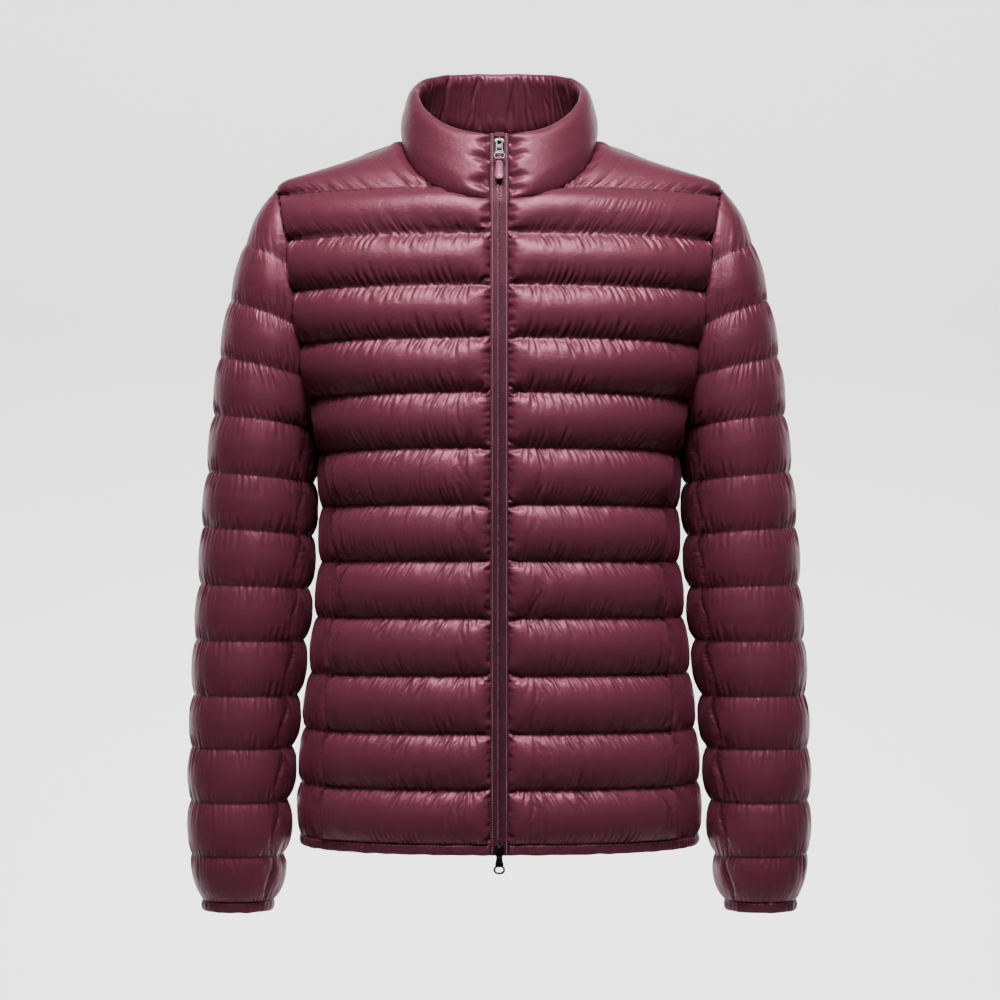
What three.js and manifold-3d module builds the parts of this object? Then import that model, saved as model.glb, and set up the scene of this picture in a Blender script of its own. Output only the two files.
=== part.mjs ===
// A light puffer jacket, worn and hollow, with its stand collar, quilted panels, bindings and two-way zip.
// Millimetres, +Z up, front towards -Y. The origin lies level with the shoulders at the neck's centre.

import * as THREE from 'three';
import Module from 'manifold-3d';
import { mergeVertices } from 'three/addons/utils/BufferGeometryUtils.js';

const wasm = await Module();
wasm.setup();

// Cloth
const WALL = 2.0;            // stitched cloth at a seam
const SEAM = 0.18;           // half of the gap between two pieces
const ARCH = 0.68;           // power of a channel's arch
const EDGE_TAPER = 24;       // reach of the pinch beside a sewn edge
const NECK_TAPER = 20;       // reach of the pinch below the collar
const NECKLINE_SAMPLES = 60;
const ZIP_HALF = 8.5;        // half width of the zip between the fronts

// Puff of each kind of panel, above the stitched cloth
const PUFF = { front: 7.2, side: 4.6, back: 7.0, sleeve: 5.4 };
const FULL_CHANNEL = 40;     // channel height that takes the whole puff
const SIDE_CLEAR = { from: -300, to: -390, least: 0.15 };  // heights where the arm's rest leaves a side panel free
const UNEVEN = { big: 0.1, small: 0.06 };                  // shares of the puff

// Quilting seams of the body: height, half width, depth in front and behind, outline power
const LEVELS = [
  { z: -47, width: 0, front: 75, back: 76, power: 2.0 },
  { z: -90, width: 0, front: 98, back: 95, power: 2.2 },
  { z: -136, width: 0, front: 107, back: 105, power: 2.3 },
  { z: -183, width: 0, front: 113, back: 110, power: 2.35 },
  { z: -231, width: 0, front: 117, back: 111, power: 2.35 },
  { z: -280, width: 162, front: 119, back: 109, power: 2.35 },
  { z: -329.5, width: 160, front: 120, back: 106, power: 2.35 },
  { z: -379, width: 160.6, front: 120, back: 103, power: 2.35 },
  { z: -429, width: 164.7, front: 121, back: 102, power: 2.35 },
  { z: -479.5, width: 170, front: 122, back: 104, power: 2.35 },
  { z: -530, width: 175.6, front: 123, back: 107, power: 2.35 },
  { z: -579, width: 179, front: 124, back: 110, power: 2.35 },
  { z: -627, width: 179.5, front: 124.5, back: 112, power: 2.35 },
];
const HEM = { bottom: -636, thick: 3.4 };
const ARMPIT_LEVEL = -231;   // quilting seam where the side panels start
const BACK_YOKE = { z: -8, drop: 1.6 };

// Seam between a front, or the back, and a side panel: height and distance from the middle
const SIDE_SEAM = [
  { z: -231, x: 168.5 }, { z: -280, x: 153 }, { z: -329.5, x: 145.5 }, { z: -379, x: 141.5 },
  { z: -429, x: 145.5 }, { z: -479.5, x: 148.5 }, { z: -530, x: 151 }, { z: -579, x: 153.5 },
  { z: -627, x: 156 },
];

// Armhole: an oval in side view, with its distance from the middle at each height
const ARMHOLE = { centre: -148, half: 109, depth: 52 };
const ARMHOLE_X = [
  { z: -257, x: 167.5 }, { z: -231, x: 168.5 }, { z: -183, x: 178 }, { z: -136, x: 185.2 },
  { z: -90, x: 190.8 }, { z: -59, x: 196.3 }, { z: -39, x: 202.8 }, { z: -30, x: 205.9 },
];

// Neckline and collar rim: half width, reach in front and behind, and the cosine terms of their height
const NECK = { width: 86.7, front: 92, back: 80, power: 2.2, height: [-5, -47.6, -12, 3.6] };
const RIM = { width: 74.4, front: 70, back: 74, power: 2.2, height: [51.75, -42.5, -6.25, 0] };

// Section of the collar: share of its height, distance outwards, and how far its gathers move it
const COLLAR_SECTION = [
  { up: 0, out: 2.0, gather: 0 }, { up: 0.12, out: 5.2, gather: 0 }, { up: 0.42, out: 7.4, gather: 0 },
  { up: 0.78, out: 6.4, gather: 0 }, { up: 0.95, out: 4.2, gather: 0.2 },
  { up: 1.02, out: 1.2, gather: 0.4 }, { up: 0.96, out: -1.6, gather: 0.8 },
  { up: 0.66, out: -2.6, gather: 1.0 }, { up: 0.28, out: -1.6, gather: 0.6 },
  { up: 0, out: 0, gather: 0 },
];
const COLLAR_GATHERS = 14;
const COLLAR_GATHER_DEPTH = 1.5;
const COLLAR_PINCH = 16;     // reach of the pinch at the collar's front ends
const COLLAR_PARTS = { back: 4, front: 1 };  // columns of the collar to each point of the panels below

// Sleeve seams: armhole angle while the armhole cuts them, outer and inner points, half depth, forward swing
const SLEEVE = [
  { angle: 0, outX: 202.8, outZ: -39, inX: 0, inZ: 0, depth: 0, fore: 0 },
  { angle: 70.7, outX: 230, outZ: -88, inX: 0, inZ: 0, depth: 52.5, fore: 0 },
  { angle: 100, outX: 243.6, outZ: -140, inX: 0, inZ: 0, depth: 59, fore: 0 },
  { angle: 126, outX: 253, outZ: -192, inX: 0, inZ: 0, depth: 63.5, fore: 0 },
  { angle: 180, outX: 259, outZ: -245, inX: 168, inZ: -257, depth: 66, fore: 0 },
  { angle: 180, outX: 264, outZ: -297, inX: 173.5, inZ: -306, depth: 66, fore: -1 },
  { angle: 180, outX: 268.7, outZ: -347, inX: 175, inZ: -354, depth: 63.5, fore: -3 },
  { angle: 180, outX: 271.3, outZ: -399, inX: 177.6, inZ: -402, depth: 60, fore: -6 },
  { angle: 180, outX: 275, outZ: -449.8, inX: 181.3, inZ: -449.8, depth: 56, fore: -9 },
  { angle: 180, outX: 276.6, outZ: -499.5, inX: 187.6, inZ: -499.5, depth: 52, fore: -12 },
  { angle: 180, outX: 278.7, outZ: -547, inX: 191.8, inZ: -547, depth: 48.5, fore: -15 },
  { angle: 180, outX: 278.9, outZ: -595.5, inX: 195.5, inZ: -595.5, depth: 45, fore: -18 },
  { angle: 180, outX: 278.2, outZ: -643.8, inX: 199, inZ: -643.8, depth: 41.5, fore: -21 },
  { angle: 180, outX: 267.9, outZ: -685.8, inX: 207.8, inZ: -685.8, depth: 31, fore: -23 },
];
const SLEEVE_GAP = 0.42;    // from a sleeve's edge to the armhole's line
const SLEEVE_TUBE = 4;       // seam from which a sleeve is a whole tube
const SLEEVE_COLUMNS = 18;
const ARMPIT_BEND = 0.35;    // how soon a sleeve turns away from the side below the armpit
const SLEEVE_REST = { from: 3, to: 7, reach: 70, left: 0.2 };  // where a sleeve lies against the body
const CUFF = { height: 9, thick: 2.8 };

// Zip: tapes, coil and its two sliders
const TAPE = { inner: 0.25, outer: 8.1, thick: 1.2 };
const COIL = { half: 2.1, from: 1.5, to: 2.7 };
const GARAGE = { half: 4.6, height: 5.2, from: 3.0, to: 4.2 };
const SLIDER = { half: 4.4, length: 11.5, waist: 3.0, from: 3.1, to: 5.6 };
const BRIDGE = { half: 1.15, length: 5.4, out: 3.1, hole: 2.2 };
const PLATE = 1.3;           // thickness of the metal pulls and of their bars
const LINK = { long: 18.3, neck: 3.6, ring: 5.5, ringStart: 12.6, ringWindow: 3.5, window: 1.75, windowEnd: 10.2 };
const TAB = { long: 20, top: 2.9, half: 3.7, thick: 1.7, loop: 2.3, loopHole: 1.25, loopHalf: 2.3 };
const BOTTOM_PULL = { long: 22, neck: 2.9, ring: 5.2, hole: 2.4, window: 1.75 };
const HINGE_OUT = SLIDER.to + 1.3;  // from the zip's line
const TOP_HINGE_DROP = 10.4; // below the rim, along the zip
const BOTTOM_HINGE_Z = -629.5;

// Colours
const PLUM = { color: 0x5e3143, roughness: 0.42, metalness: 0 };
const PLUM_DARK = { color: 0x4a2535, roughness: 0.6, metalness: 0 };
const COIL_DARK = { color: 0x2c1a22, roughness: 0.45, metalness: 0 };
const GUNMETAL = { color: 0x9b9698, roughness: 0.25, metalness: 1 };
const BLACK_METAL = { color: 0x2a282a, roughness: 0.35, metalness: 0.8 };

const DEGREE = Math.PI / 180;
const V = (x, y, z) => new THREE.Vector3(x, y, z);
const mix = (a, b, t) => a + (b - a) * t;

// Straight interpolation of one column of a table by its height
function look(table, z, column) {
  const rows = [...table].sort((a, b) => a.z - b.z);
  if (z <= rows[0].z) return rows[0][column];
  for (let i = 1; i < rows.length; i++) {
    const [a, b] = [rows[i - 1], rows[i]];
    if (z <= b.z) return mix(a[column], b[column], (z - a.z) / (b.z - a.z));
  }
  return rows[rows.length - 1][column];
}

// Body surface

// Half depth of the armhole at a height
function armholeDepth(z) {
  const share = (z - ARMHOLE.centre) / ARMHOLE.half;
  return ARMHOLE.depth * Math.sqrt(Math.max(0, 1 - share * share));
}

// A point of the armhole, by its angle from the shoulder down the front
function armholePoint(angle) {
  const z = ARMHOLE.centre + ARMHOLE.half * Math.cos(angle);
  return V(look(ARMHOLE_X, z, 'x'), -ARMHOLE.depth * Math.sin(angle), z);
}

// Depth of the body at a distance from the middle: one quarter of a rounded oval.
// Beside an armhole the oval is as wide as carries it through the armhole's edge.
function depthAt(x, z, face) {
  const power = look(LEVELS, z, 'power');
  const depth = look(LEVELS, z, face);
  let width = look(LEVELS, z, 'width');
  if (z >= ARMPIT_LEVEL) {
    const share = Math.min(0.98, armholeDepth(z) / depth);
    width = look(ARMHOLE_X, z, 'x') / (1 - share ** power) ** (1 / power);
  }
  const inside = Math.max(0, 1 - (Math.abs(x) / width) ** power);
  return depth * inside ** (1 / power);
}

const edgeX = (z) => (z > ARMPIT_LEVEL ? look(ARMHOLE_X, z, 'x') : look(SIDE_SEAM, z, 'x'));
const frontPoint = (x, z) => V(x, -depthAt(x, z, 'front'), z);
const backPoint = (x, z) => V(x, depthAt(x, z, 'back'), z);

// A loop round the neck: angle 0 in front, 180 behind
function neckLoop(loop, angle, side) {
  const s = Math.sin(angle);
  const c = Math.cos(angle);
  const reach = c > 0 ? -loop.front : loop.back;
  const [a, b, d, e] = loop.height;
  const z = a + b * c + d * Math.cos(2 * angle) + e * Math.cos(3 * angle);
  const bend = 2 / loop.power;
  return V(side * loop.width * Math.abs(s) ** bend, reach * Math.abs(c) ** bend, z);
}

// Angle at which a loop round the neck is a given distance from the middle
const neckAngle = (loop, x) => Math.asin((x / loop.width) ** (loop.power / 2));

// Angle at which the front neckline is at a given height
function neckAngleAtHeight(z) {
  let low = 0;
  let high = Math.PI / 2;
  for (let i = 0; i < 40; i++) {
    const middle = (low + high) / 2;
    if (neckLoop(NECK, middle, 1).z < z) low = middle;
    else high = middle;
  }
  return low;
}

const SHOULDER_NECK = neckLoop(NECK, Math.PI / 2, 1);
const SHOULDER_POINT = armholePoint(0);
const shoulderSeam = (share) => SHOULDER_NECK.clone().lerp(SHOULDER_POINT, share);

// Grids of points: a channel is ruled between two seams and pulled to its two edges

const ARCH_ROWS = [0, 0.17, 0.5, 0.83, 1];
const YOKE_ROWS = [0, 0.17, 0.33, 0.5, 0.67, 0.83, 1];
const NECK_ROWS = [0, 0.1, 0.2, 0.3, 0.4, 0.5, 0.75, 1];
const NECK_CORNER = 0.5;     // share of the second channel whose start lies on the neckline

function channelRow(channel, share, columns) {
  const ruled = (u) => channel.top(u).clone().lerp(channel.bottom(u), share);
  const startShift = channel.start(share).sub(ruled(0));
  const endShift = channel.end(share).sub(ruled(1));
  return columns.map((u) => ruled(u).addScaledVector(startShift, 1 - u).addScaledVector(endShift, u));
}

// Rows of all channels of a panel, each with its place in its channel
function panelRows(channels, columns) {
  const rows = [];
  channels.forEach((channel, index) => {
    const shares = channel.shares ?? ARCH_ROWS;
    shares.forEach((share, i) => {
      if (i === 0 && index > 0) return;
      rows.push({ share, seam: share === 0 || share === 1, points: channelRow(channel, share, columns) });
    });
  });
  return rows;
}

// Outward directions of a grid from its neighbours
function gridNormals(grid, inside) {
  const last = grid.length - 1;
  const end = grid[0].length - 1;
  return grid.map((row, i) => row.map((point, j) => {
    const down = grid[Math.min(i + 1, last)][j].clone().sub(grid[Math.max(i - 1, 0)][j]);
    const across = row[Math.min(j + 1, end)].clone().sub(row[Math.max(j - 1, 0)]);
    const normal = down.cross(across).normalize();
    return normal.dot(point.clone().sub(inside(point))) < 0 ? normal.negate() : normal;
  }));
}

const arch = (share) => Math.max(0, 4 * share * (1 - share)) ** ARCH;

// A pinch that grows from nothing at a sewn edge to one at its reach
function pinch(distance, reach = EDGE_TAPER) {
  const left = 1 - Math.min(1, Math.max(0, distance) / reach);
  return Math.sqrt(1 - left * left);
}

// Distance from a point to the neckline, which pinches the panels below it
const NECKLINE_ANGLES = [...Array(NECKLINE_SAMPLES + 1).keys()].map((i) => (Math.PI * i) / NECKLINE_SAMPLES);
const NECKLINE = NECKLINE_ANGLES.map((angle) => neckLoop(NECK, angle, 1));
function neckDistance(point) {
  const mirror = V(Math.abs(point.x), point.y, point.z);
  return Math.min(...NECKLINE.map((sample) => sample.distanceTo(mirror)));
}

// Length of a channel's height at a column, which limits its puff
const channelHeight = (rows, i, j) => {
  let a = i;
  let b = i;
  while (a > 0 && !rows[a].seam) a -= 1;
  while (b < rows.length - 1 && !rows[b].seam) b += 1;
  return rows[a].points[j].distanceTo(rows[b].points[j]);
};

// Soft unevenness of the down along a channel
const uneven = (i, j) => 1 + UNEVEN.big * Math.sin(2.3 * j + 1.7 * i) + UNEVEN.small * Math.sin(5.1 * j - 0.9 * i);

// A wall between an outer grid and a sparser inner one, which share their seams.
// From a given row on, the first and last columns meet, and the wall is a tube.
function wallGeometry(outer, inner, pickRows, pickColumns, tubeFrom = Infinity) {
  const positions = [];
  const triangles = [];
  const put = (grid) => grid.map((row) => row.map((p) => positions.push(p) - 1));
  const out = put(outer);
  const inn = put(inner);
  const rows = outer.length;
  const columns = outer[0].length;
  for (let i = 0; i + 1 < rows; i++) {
    for (let j = 0; j + 1 < columns; j++) {
      const [a, b, c, d] = [out[i][j], out[i + 1][j], out[i + 1][j + 1], out[i][j + 1]];
      triangles.push([a, b, c], [a, c, d]);
    }
  }
  for (let a = 0; a + 1 < pickRows.length; a++) {
    for (let b = 0; b + 1 < pickColumns.length; b++) {
      const [i, k, j, l] = [pickRows[a], pickRows[a + 1], pickColumns[b], pickColumns[b + 1]];
      triangles.push([inn[i][j], inn[k][l], inn[k][j]], [inn[i][j], inn[i][l], inn[k][l]]);
    }
  }
  // One border run, from pick to pick
  const border = (cells, picks) => {
    for (let p = 0; p + 1 < picks.length; p++) {
      const [from, to] = [picks[p], picks[p + 1]];
      const middle = Math.floor((from + to) / 2);
      const [innFrom, innTo] = [cells[from].inn, cells[to].inn];
      for (let k = from; k < to; k++) {
        triangles.push([cells[k].out, cells[k + 1].out, k < middle ? innFrom : innTo]);
      }
      triangles.push([cells[middle].out, innTo, innFrom]);
    }
  };
  const cell = (i, j) => ({ out: out[i][j], inn: inn[i][j] });
  const along = (count) => [...Array(count).keys()];
  const turned = (picks, count) => [...picks].reverse().map((p) => count - 1 - p);
  border(along(columns).map((j) => cell(0, j)), pickColumns);
  border(along(columns).map((j) => cell(rows - 1, columns - 1 - j)), turned(pickColumns, columns));
  const open = pickRows.filter((i) => i <= tubeFrom);
  const openRows = open[open.length - 1] + 1;
  border(along(openRows).map((i) => cell(i, columns - 1)), open);
  border(along(openRows).map((i) => cell(openRows - 1 - i, 0)), turned(open, openRows));
  return solid(positions, triangles);
}

// A closed mesh of points and triangles, welded and facing out
function solid(points, triangles) {
  const index = new Map();
  const kept = [];
  const ids = points.map((p) => {
    const key = [p.x, p.y, p.z].map((c) => Math.round(c * 1e4)).join();
    if (!index.has(key)) {
      index.set(key, kept.length);
      kept.push(p);
    }
    return index.get(key);
  });
  let faces = triangles.map((t) => t.map((i) => ids[i]));
  faces = faces.filter(([a, b, c]) => a !== b && b !== c && c !== a);
  const volume = faces.reduce((sum, [a, b, c]) => sum + kept[a].dot(kept[b].clone().cross(kept[c])), 0);
  if (volume < 0) faces = faces.map(([a, b, c]) => [a, c, b]);
  const geometry = new THREE.BufferGeometry();
  const numbers = kept.flatMap((p) => [p.x, p.y, p.z]);
  geometry.setAttribute('position', new THREE.Float32BufferAttribute(numbers, 3));
  geometry.setIndex(faces.flat());
  return geometry;
}

// A closed mesh through a row of closed sections, capped at both ends unless it closes on itself
function loftGeometry(sections, ring = false) {
  const points = sections.flat();
  const size = sections[0].length;
  const triangles = [];
  const count = ring ? sections.length : sections.length - 1;
  for (let i = 0; i < count; i++) {
    for (let j = 0; j < size; j++) {
      const k = (i + 1) % sections.length;
      const n = (j + 1) % size;
      const [a, b] = [i * size, k * size];
      triangles.push([a + j, b + j, b + n], [a + j, b + n, a + n]);
    }
  }
  if (!ring) {
    const lastStart = (sections.length - 1) * size;
    const ends = [[0, false], [lastStart, true]];
    for (const [start, far] of ends) {
      for (let j = 1; j <= size / 2; j++) {
        const a = start + j - 1;
        const b = start + j;
        const c = start + size - j;
        const d = start + ((size - j + 1) % size);
        const quads = j === 1 ? [[d, b, c]] : [[a, b, c], [a, c, d]];
        quads.forEach(([p, q, r]) => triangles.push(far ? [p, r, q] : [p, q, r]));
      }
    }
  }
  return solid(points, triangles);
}

// Mirror image of a geometry across the middle plane
function mirrored(geometry) {
  const copy = geometry.clone();
  copy.scale(-1, 1, 1);
  const index = copy.getIndex().array;
  for (let i = 0; i < index.length; i += 3) [index[i + 1], index[i + 2]] = [index[i + 2], index[i + 1]];
  return copy;
}

const jacket = new THREE.Group();

function addPiece(name, geometry, finish, parent = jacket) {
  geometry.computeVertexNormals();
  const mesh = new THREE.Mesh(geometry, new THREE.MeshStandardMaterial(finish));
  mesh.name = name;
  parent.add(mesh);
  return mesh;
}

// A quilted panel: plain inner wall on the seam surface, outer points raised in arches.
// puffAt gives the puff at a column, fixNormal turns the wall's direction at the panel's own edges.
function quiltedPanel(rows, columns, options) {
  const base = rows.map((row) => row.points);
  const normals = gridNormals(base, options.inside);
  const outer = base.map((points, i) => points.map((point, j) => {
    const normal = options.fixNormal(normals[i][j], i, j, rows);
    const tall = Math.min(1, channelHeight(rows, i, j) / FULL_CHANNEL);
    const lump = uneven(i, j % (columns.length - 1));
    const puff = options.puffAt(columns[j], i, j, point) * arch(rows[i].share) * tall * lump;
    return point.clone().addScaledVector(normal, WALL + puff);
  }));
  // The plain inner wall keeps its points at the seams, and beside the curved edges near the shoulder
  const pickRows = [...rows.keys()].filter((i) => rows[i].seam || i < options.curvedRows);
  const pickColumns = columns.map((_, j) => j);
  return wallGeometry(outer, base, pickRows, pickColumns, options.tubeFrom);
}

// Edge directions

// Straight out of the armhole in side view, along the surface that its edge lies in
function armholeNormal(point) {
  const y = point.y / ARMHOLE.depth ** 2;
  const z = (point.z - ARMHOLE.centre) / ARMHOLE.half ** 2;
  const lean = (look(ARMHOLE_X, point.z + 1, 'x') - look(ARMHOLE_X, point.z - 1, 'x')) / 2;
  return V(lean * z, y, z).normalize();
}

// Between the body's and the collar's directions at the neckline
function necklineNormal(point) {
  const outwards = V(point.x / NECK.width, point.y / NECK.front, 0).normalize();
  const lift = 0.35 + 0.5 * Math.abs(point.x) / NECK.width;
  return outwards.add(V(0, 0, lift)).normalize();
}

const without = (normal, axis) => {
  const flat = normal.clone();
  flat[axis] = 0;
  return flat.normalize();
};

const bodyInside = (point) => V(0.35 * point.x, 0, Math.min(point.z, -90) + 10);

// Fronts

const YOKE_ANGLE = neckAngleAtHeight(LEVELS[0].z);
const CENTRE_ANGLE = neckAngle(NECK, ZIP_HALF + SEAM);
const FRONT_COLUMNS = [0, 0.05, 0.15, 0.32, 0.5, 0.68, 0.85, 0.95, 1];
const NECK_GAP = V(0, 0, -SEAM);

// A seam across the front at one height, from its inner to its outer edge
function frontSeam(z) {
  const innerX = z === LEVELS[0].z ? neckLoop(NECK, YOKE_ANGLE, 1).x : ZIP_HALF + SEAM;
  const outerX = edgeX(z) - SEAM;
  return (u) => frontPoint(mix(innerX, outerX, u), z);
}

const frontEdge = (z) => frontPoint(edgeX(z) - SEAM, z);

function frontChannels() {
  const seamStart = (share) => V(0, -SEAM, 0).add(shoulderSeam(share));
  const yoke = {
    top: (u) => seamStart(u).setX(seamStart(u).x - (u === 1 ? SEAM : 0)),
    bottom: frontSeam(LEVELS[0].z),
    start: (v) => neckLoop(NECK, mix(Math.PI / 2, YOKE_ANGLE, v), 1).add(V(0, -SEAM * (1 - v), -SEAM)),
    end: (v) => {
      const z = mix(SHOULDER_POINT.z, LEVELS[0].z, v);
      return V(look(ARMHOLE_X, z, 'x') - SEAM, -Math.max(SEAM, armholeDepth(z)), z);
    },
    shares: YOKE_ROWS,
  };
  const corner = NECK_CORNER;
  const neck = {
    top: frontSeam(LEVELS[0].z),
    bottom: frontSeam(LEVELS[1].z),
    start: (v) => {
      if (v <= corner) return neckLoop(NECK, mix(YOKE_ANGLE, CENTRE_ANGLE, v / corner), 1).add(NECK_GAP);
      const top = neckLoop(NECK, CENTRE_ANGLE, 1).add(NECK_GAP);
      return top.lerp(frontPoint(ZIP_HALF + SEAM, LEVELS[1].z), (v - corner) / (1 - corner));
    },
    end: (v) => frontEdge(mix(LEVELS[0].z, LEVELS[1].z, v)),
    shares: NECK_ROWS,
  };
  const lower = LEVELS.slice(1, -1).map((level, i) => {
    const next = LEVELS[i + 2].z + (i === LEVELS.length - 3 ? SEAM : 0);
    const high = level.z;
    return {
      top: frontSeam(high),
      bottom: frontSeam(next),
      start: (v) => frontSeam(high)(0).lerp(frontSeam(next)(0), v),
      end: (v) => {
        if (high > ARMPIT_LEVEL) return frontEdge(mix(high, next, v));
        return frontSeam(high)(1).lerp(frontSeam(next)(1), v);
      },
    };
  });
  return [yoke, neck, ...lower];
}

function frontGeometry() {
  const rows = panelRows(frontChannels(), FRONT_COLUMNS);
  const lastColumn = FRONT_COLUMNS.length - 1;
  const necklineRows = YOKE_ROWS.length + NECK_ROWS.indexOf(NECK_CORNER) - 1;
  const fixNormal = (normal, i, j) => {
    const point = rows[i].points[j];
    if (j === lastColumn && point.z >= ARMPIT_LEVEL) return armholeNormal(point);
    if (j === 0 && i <= necklineRows) return necklineNormal(point);
    if (i === 0) return without(normal, 'y');
    if (i === rows.length - 1) return without(normal, 'z');
    if (j === 0) return without(normal, 'x');
    return normal;
  };
  const puffAt = (u, i, j, point) => {
    const width = rows[i].points[0].distanceTo(rows[i].points[lastColumn]);
    const fromEdge = Math.min(point.distanceTo(rows[i].points[0]), u === 1 ? 0 : width * (1 - u));
    return PUFF.front * pinch(fromEdge) * pinch(neckDistance(point) - 1, NECK_TAPER);
  };
  const curvedRows = YOKE_ROWS.length + NECK_ROWS.length - 1;
  return quiltedPanel(rows, FRONT_COLUMNS, { inside: bodyInside, fixNormal, puffAt, curvedRows });
}

// Back

const NECK_SHARE = SHOULDER_NECK.x / SHOULDER_POINT.x;
const HALF_COLUMNS = [0, 0.11, 0.22, 0.33, NECK_SHARE, 0.6, 0.78, 0.92, 1];
const BACK_PLACES = [...HALF_COLUMNS.slice(1).reverse().map((u) => -u), ...HALF_COLUMNS];
const BACK_COLUMNS = BACK_PLACES.map((u) => (u + 1) / 2);

// Top edge of the back: shoulder seam, neckline, shoulder seam
function backTop(u) {
  const place = 2 * u - 1;
  const side = Math.sign(place) || 1;
  const share = Math.abs(place);
  if (share >= NECK_SHARE) {
    const point = shoulderSeam((share - NECK_SHARE) / (1 - NECK_SHARE));
    return V(side * (point.x - (share === 1 ? SEAM : 0)), SEAM, point.z);
  }
  const angle = Math.PI - (Math.PI / 2) * (share / NECK_SHARE);
  return neckLoop(NECK, angle, side).add(V(0, SEAM * (share / NECK_SHARE), -SEAM));
}

// A level seam across the upper back, which ends just under the shoulder seams
function backYokeSeam(u) {
  const place = 2 * u - 1;
  const x = place * (SHOULDER_POINT.x - SEAM);
  const seamShare = (Math.abs(x) - SHOULDER_NECK.x) / (SHOULDER_POINT.x - SHOULDER_NECK.x);
  const roof = seamShare > 0 ? shoulderSeam(seamShare).z - BACK_YOKE.drop : BACK_YOKE.z;
  const z = Math.min(BACK_YOKE.z, roof);
  const low = backPoint(x, LEVELS[0].z);
  const high = backTop(u);
  const share = (high.z - z) / (high.z - low.z);
  return V(x, mix(high.y, low.y, Math.sqrt(share)), z);
}

function backSeam(z) {
  const outerX = edgeX(z) - SEAM;
  return (u) => backPoint((2 * u - 1) * outerX, z);
}

function backChannels() {
  const upper = {
    top: backTop,
    bottom: backYokeSeam,
    start: (v) => backTop(0).lerp(backYokeSeam(0), v),
    end: (v) => backTop(1).lerp(backYokeSeam(1), v),
  };
  const yoke = {
    top: backYokeSeam,
    bottom: backSeam(LEVELS[0].z),
    start: (v) => backYokeSeam(0).lerp(backSeam(LEVELS[0].z)(0), v),
    end: (v) => backYokeSeam(1).lerp(backSeam(LEVELS[0].z)(1), v),
  };
  const lower = LEVELS.slice(0, -1).map((level, i) => {
    const next = LEVELS[i + 1].z + (i === LEVELS.length - 2 ? SEAM : 0);
    const high = level.z;
    const edge = (side) => (v) => {
      const z = mix(high, next, v);
      const u = (side + 1) / 2;
      if (high > ARMPIT_LEVEL) return backPoint(side * (edgeX(z) - SEAM), z);
      return backSeam(high)(u).lerp(backSeam(next)(u), v);
    };
    return { top: backSeam(high), bottom: backSeam(next), start: edge(-1), end: edge(1) };
  });
  return [upper, yoke, ...lower];
}

function backGeometry() {
  const rows = panelRows(backChannels(), BACK_COLUMNS);
  const lastColumn = BACK_COLUMNS.length - 1;
  const fixNormal = (normal, i, j) => {
    const point = rows[i].points[j];
    if ((j === 0 || j === lastColumn) && point.z >= ARMPIT_LEVEL) return armholeNormal(point);
    if (i === 0 && Math.abs(2 * BACK_COLUMNS[j] - 1) <= NECK_SHARE) return necklineNormal(point);
    if (i === 0) return without(normal, 'y');
    if (i === rows.length - 1) return without(normal, 'z');
    return normal;
  };
  const puffAt = (u, i, j, point) => {
    const ends = [rows[i].points[0], rows[i].points[lastColumn]];
    const fromEdge = Math.min(...ends.map((end) => point.distanceTo(end)));
    return PUFF.back * pinch(fromEdge) * pinch(neckDistance(point) - 1, NECK_TAPER);
  };
  const curvedRows = 3 * (ARCH_ROWS.length - 1);
  return quiltedPanel(rows, BACK_COLUMNS, { inside: bodyInside, fixNormal, puffAt, curvedRows });
}

// Side panels

const SIDE_COLUMNS = [0, 0.12, 0.32, 0.5, 0.68, 0.88, 1];
const JUNCTION_GAP = 0.014;   // turn that keeps a side panel clear of the front and back
const JUNCTION_ANGLE = Math.acos((ARMPIT_LEVEL - ARMHOLE.centre) / ARMHOLE.half);

// A seam round the side at one height, from the front seam to the back seam
function sideSeam(z) {
  const power = look(LEVELS, z, 'power');
  const width = look(LEVELS, z, 'width');
  const start = Math.asin(((edgeX(z) + SEAM) / width) ** (power / 2));
  return (u) => {
    const angle = mix(start, Math.PI - start, u);
    const reach = Math.abs(Math.cos(angle)) ** (2 / power);
    const y = Math.cos(angle) > 0 ? -look(LEVELS, z, 'front') * reach : look(LEVELS, z, 'back') * reach;
    return V(width * Math.sin(angle) ** (2 / power), y, z);
  };
}

// Lower part of the armhole, from the front panel round to the back panel
function armholeBottom(u) {
  const from = JUNCTION_ANGLE + JUNCTION_GAP;
  return armholePoint(mix(from, 2 * Math.PI - from, u)).add(V(-SEAM, 0, 0));
}

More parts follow.
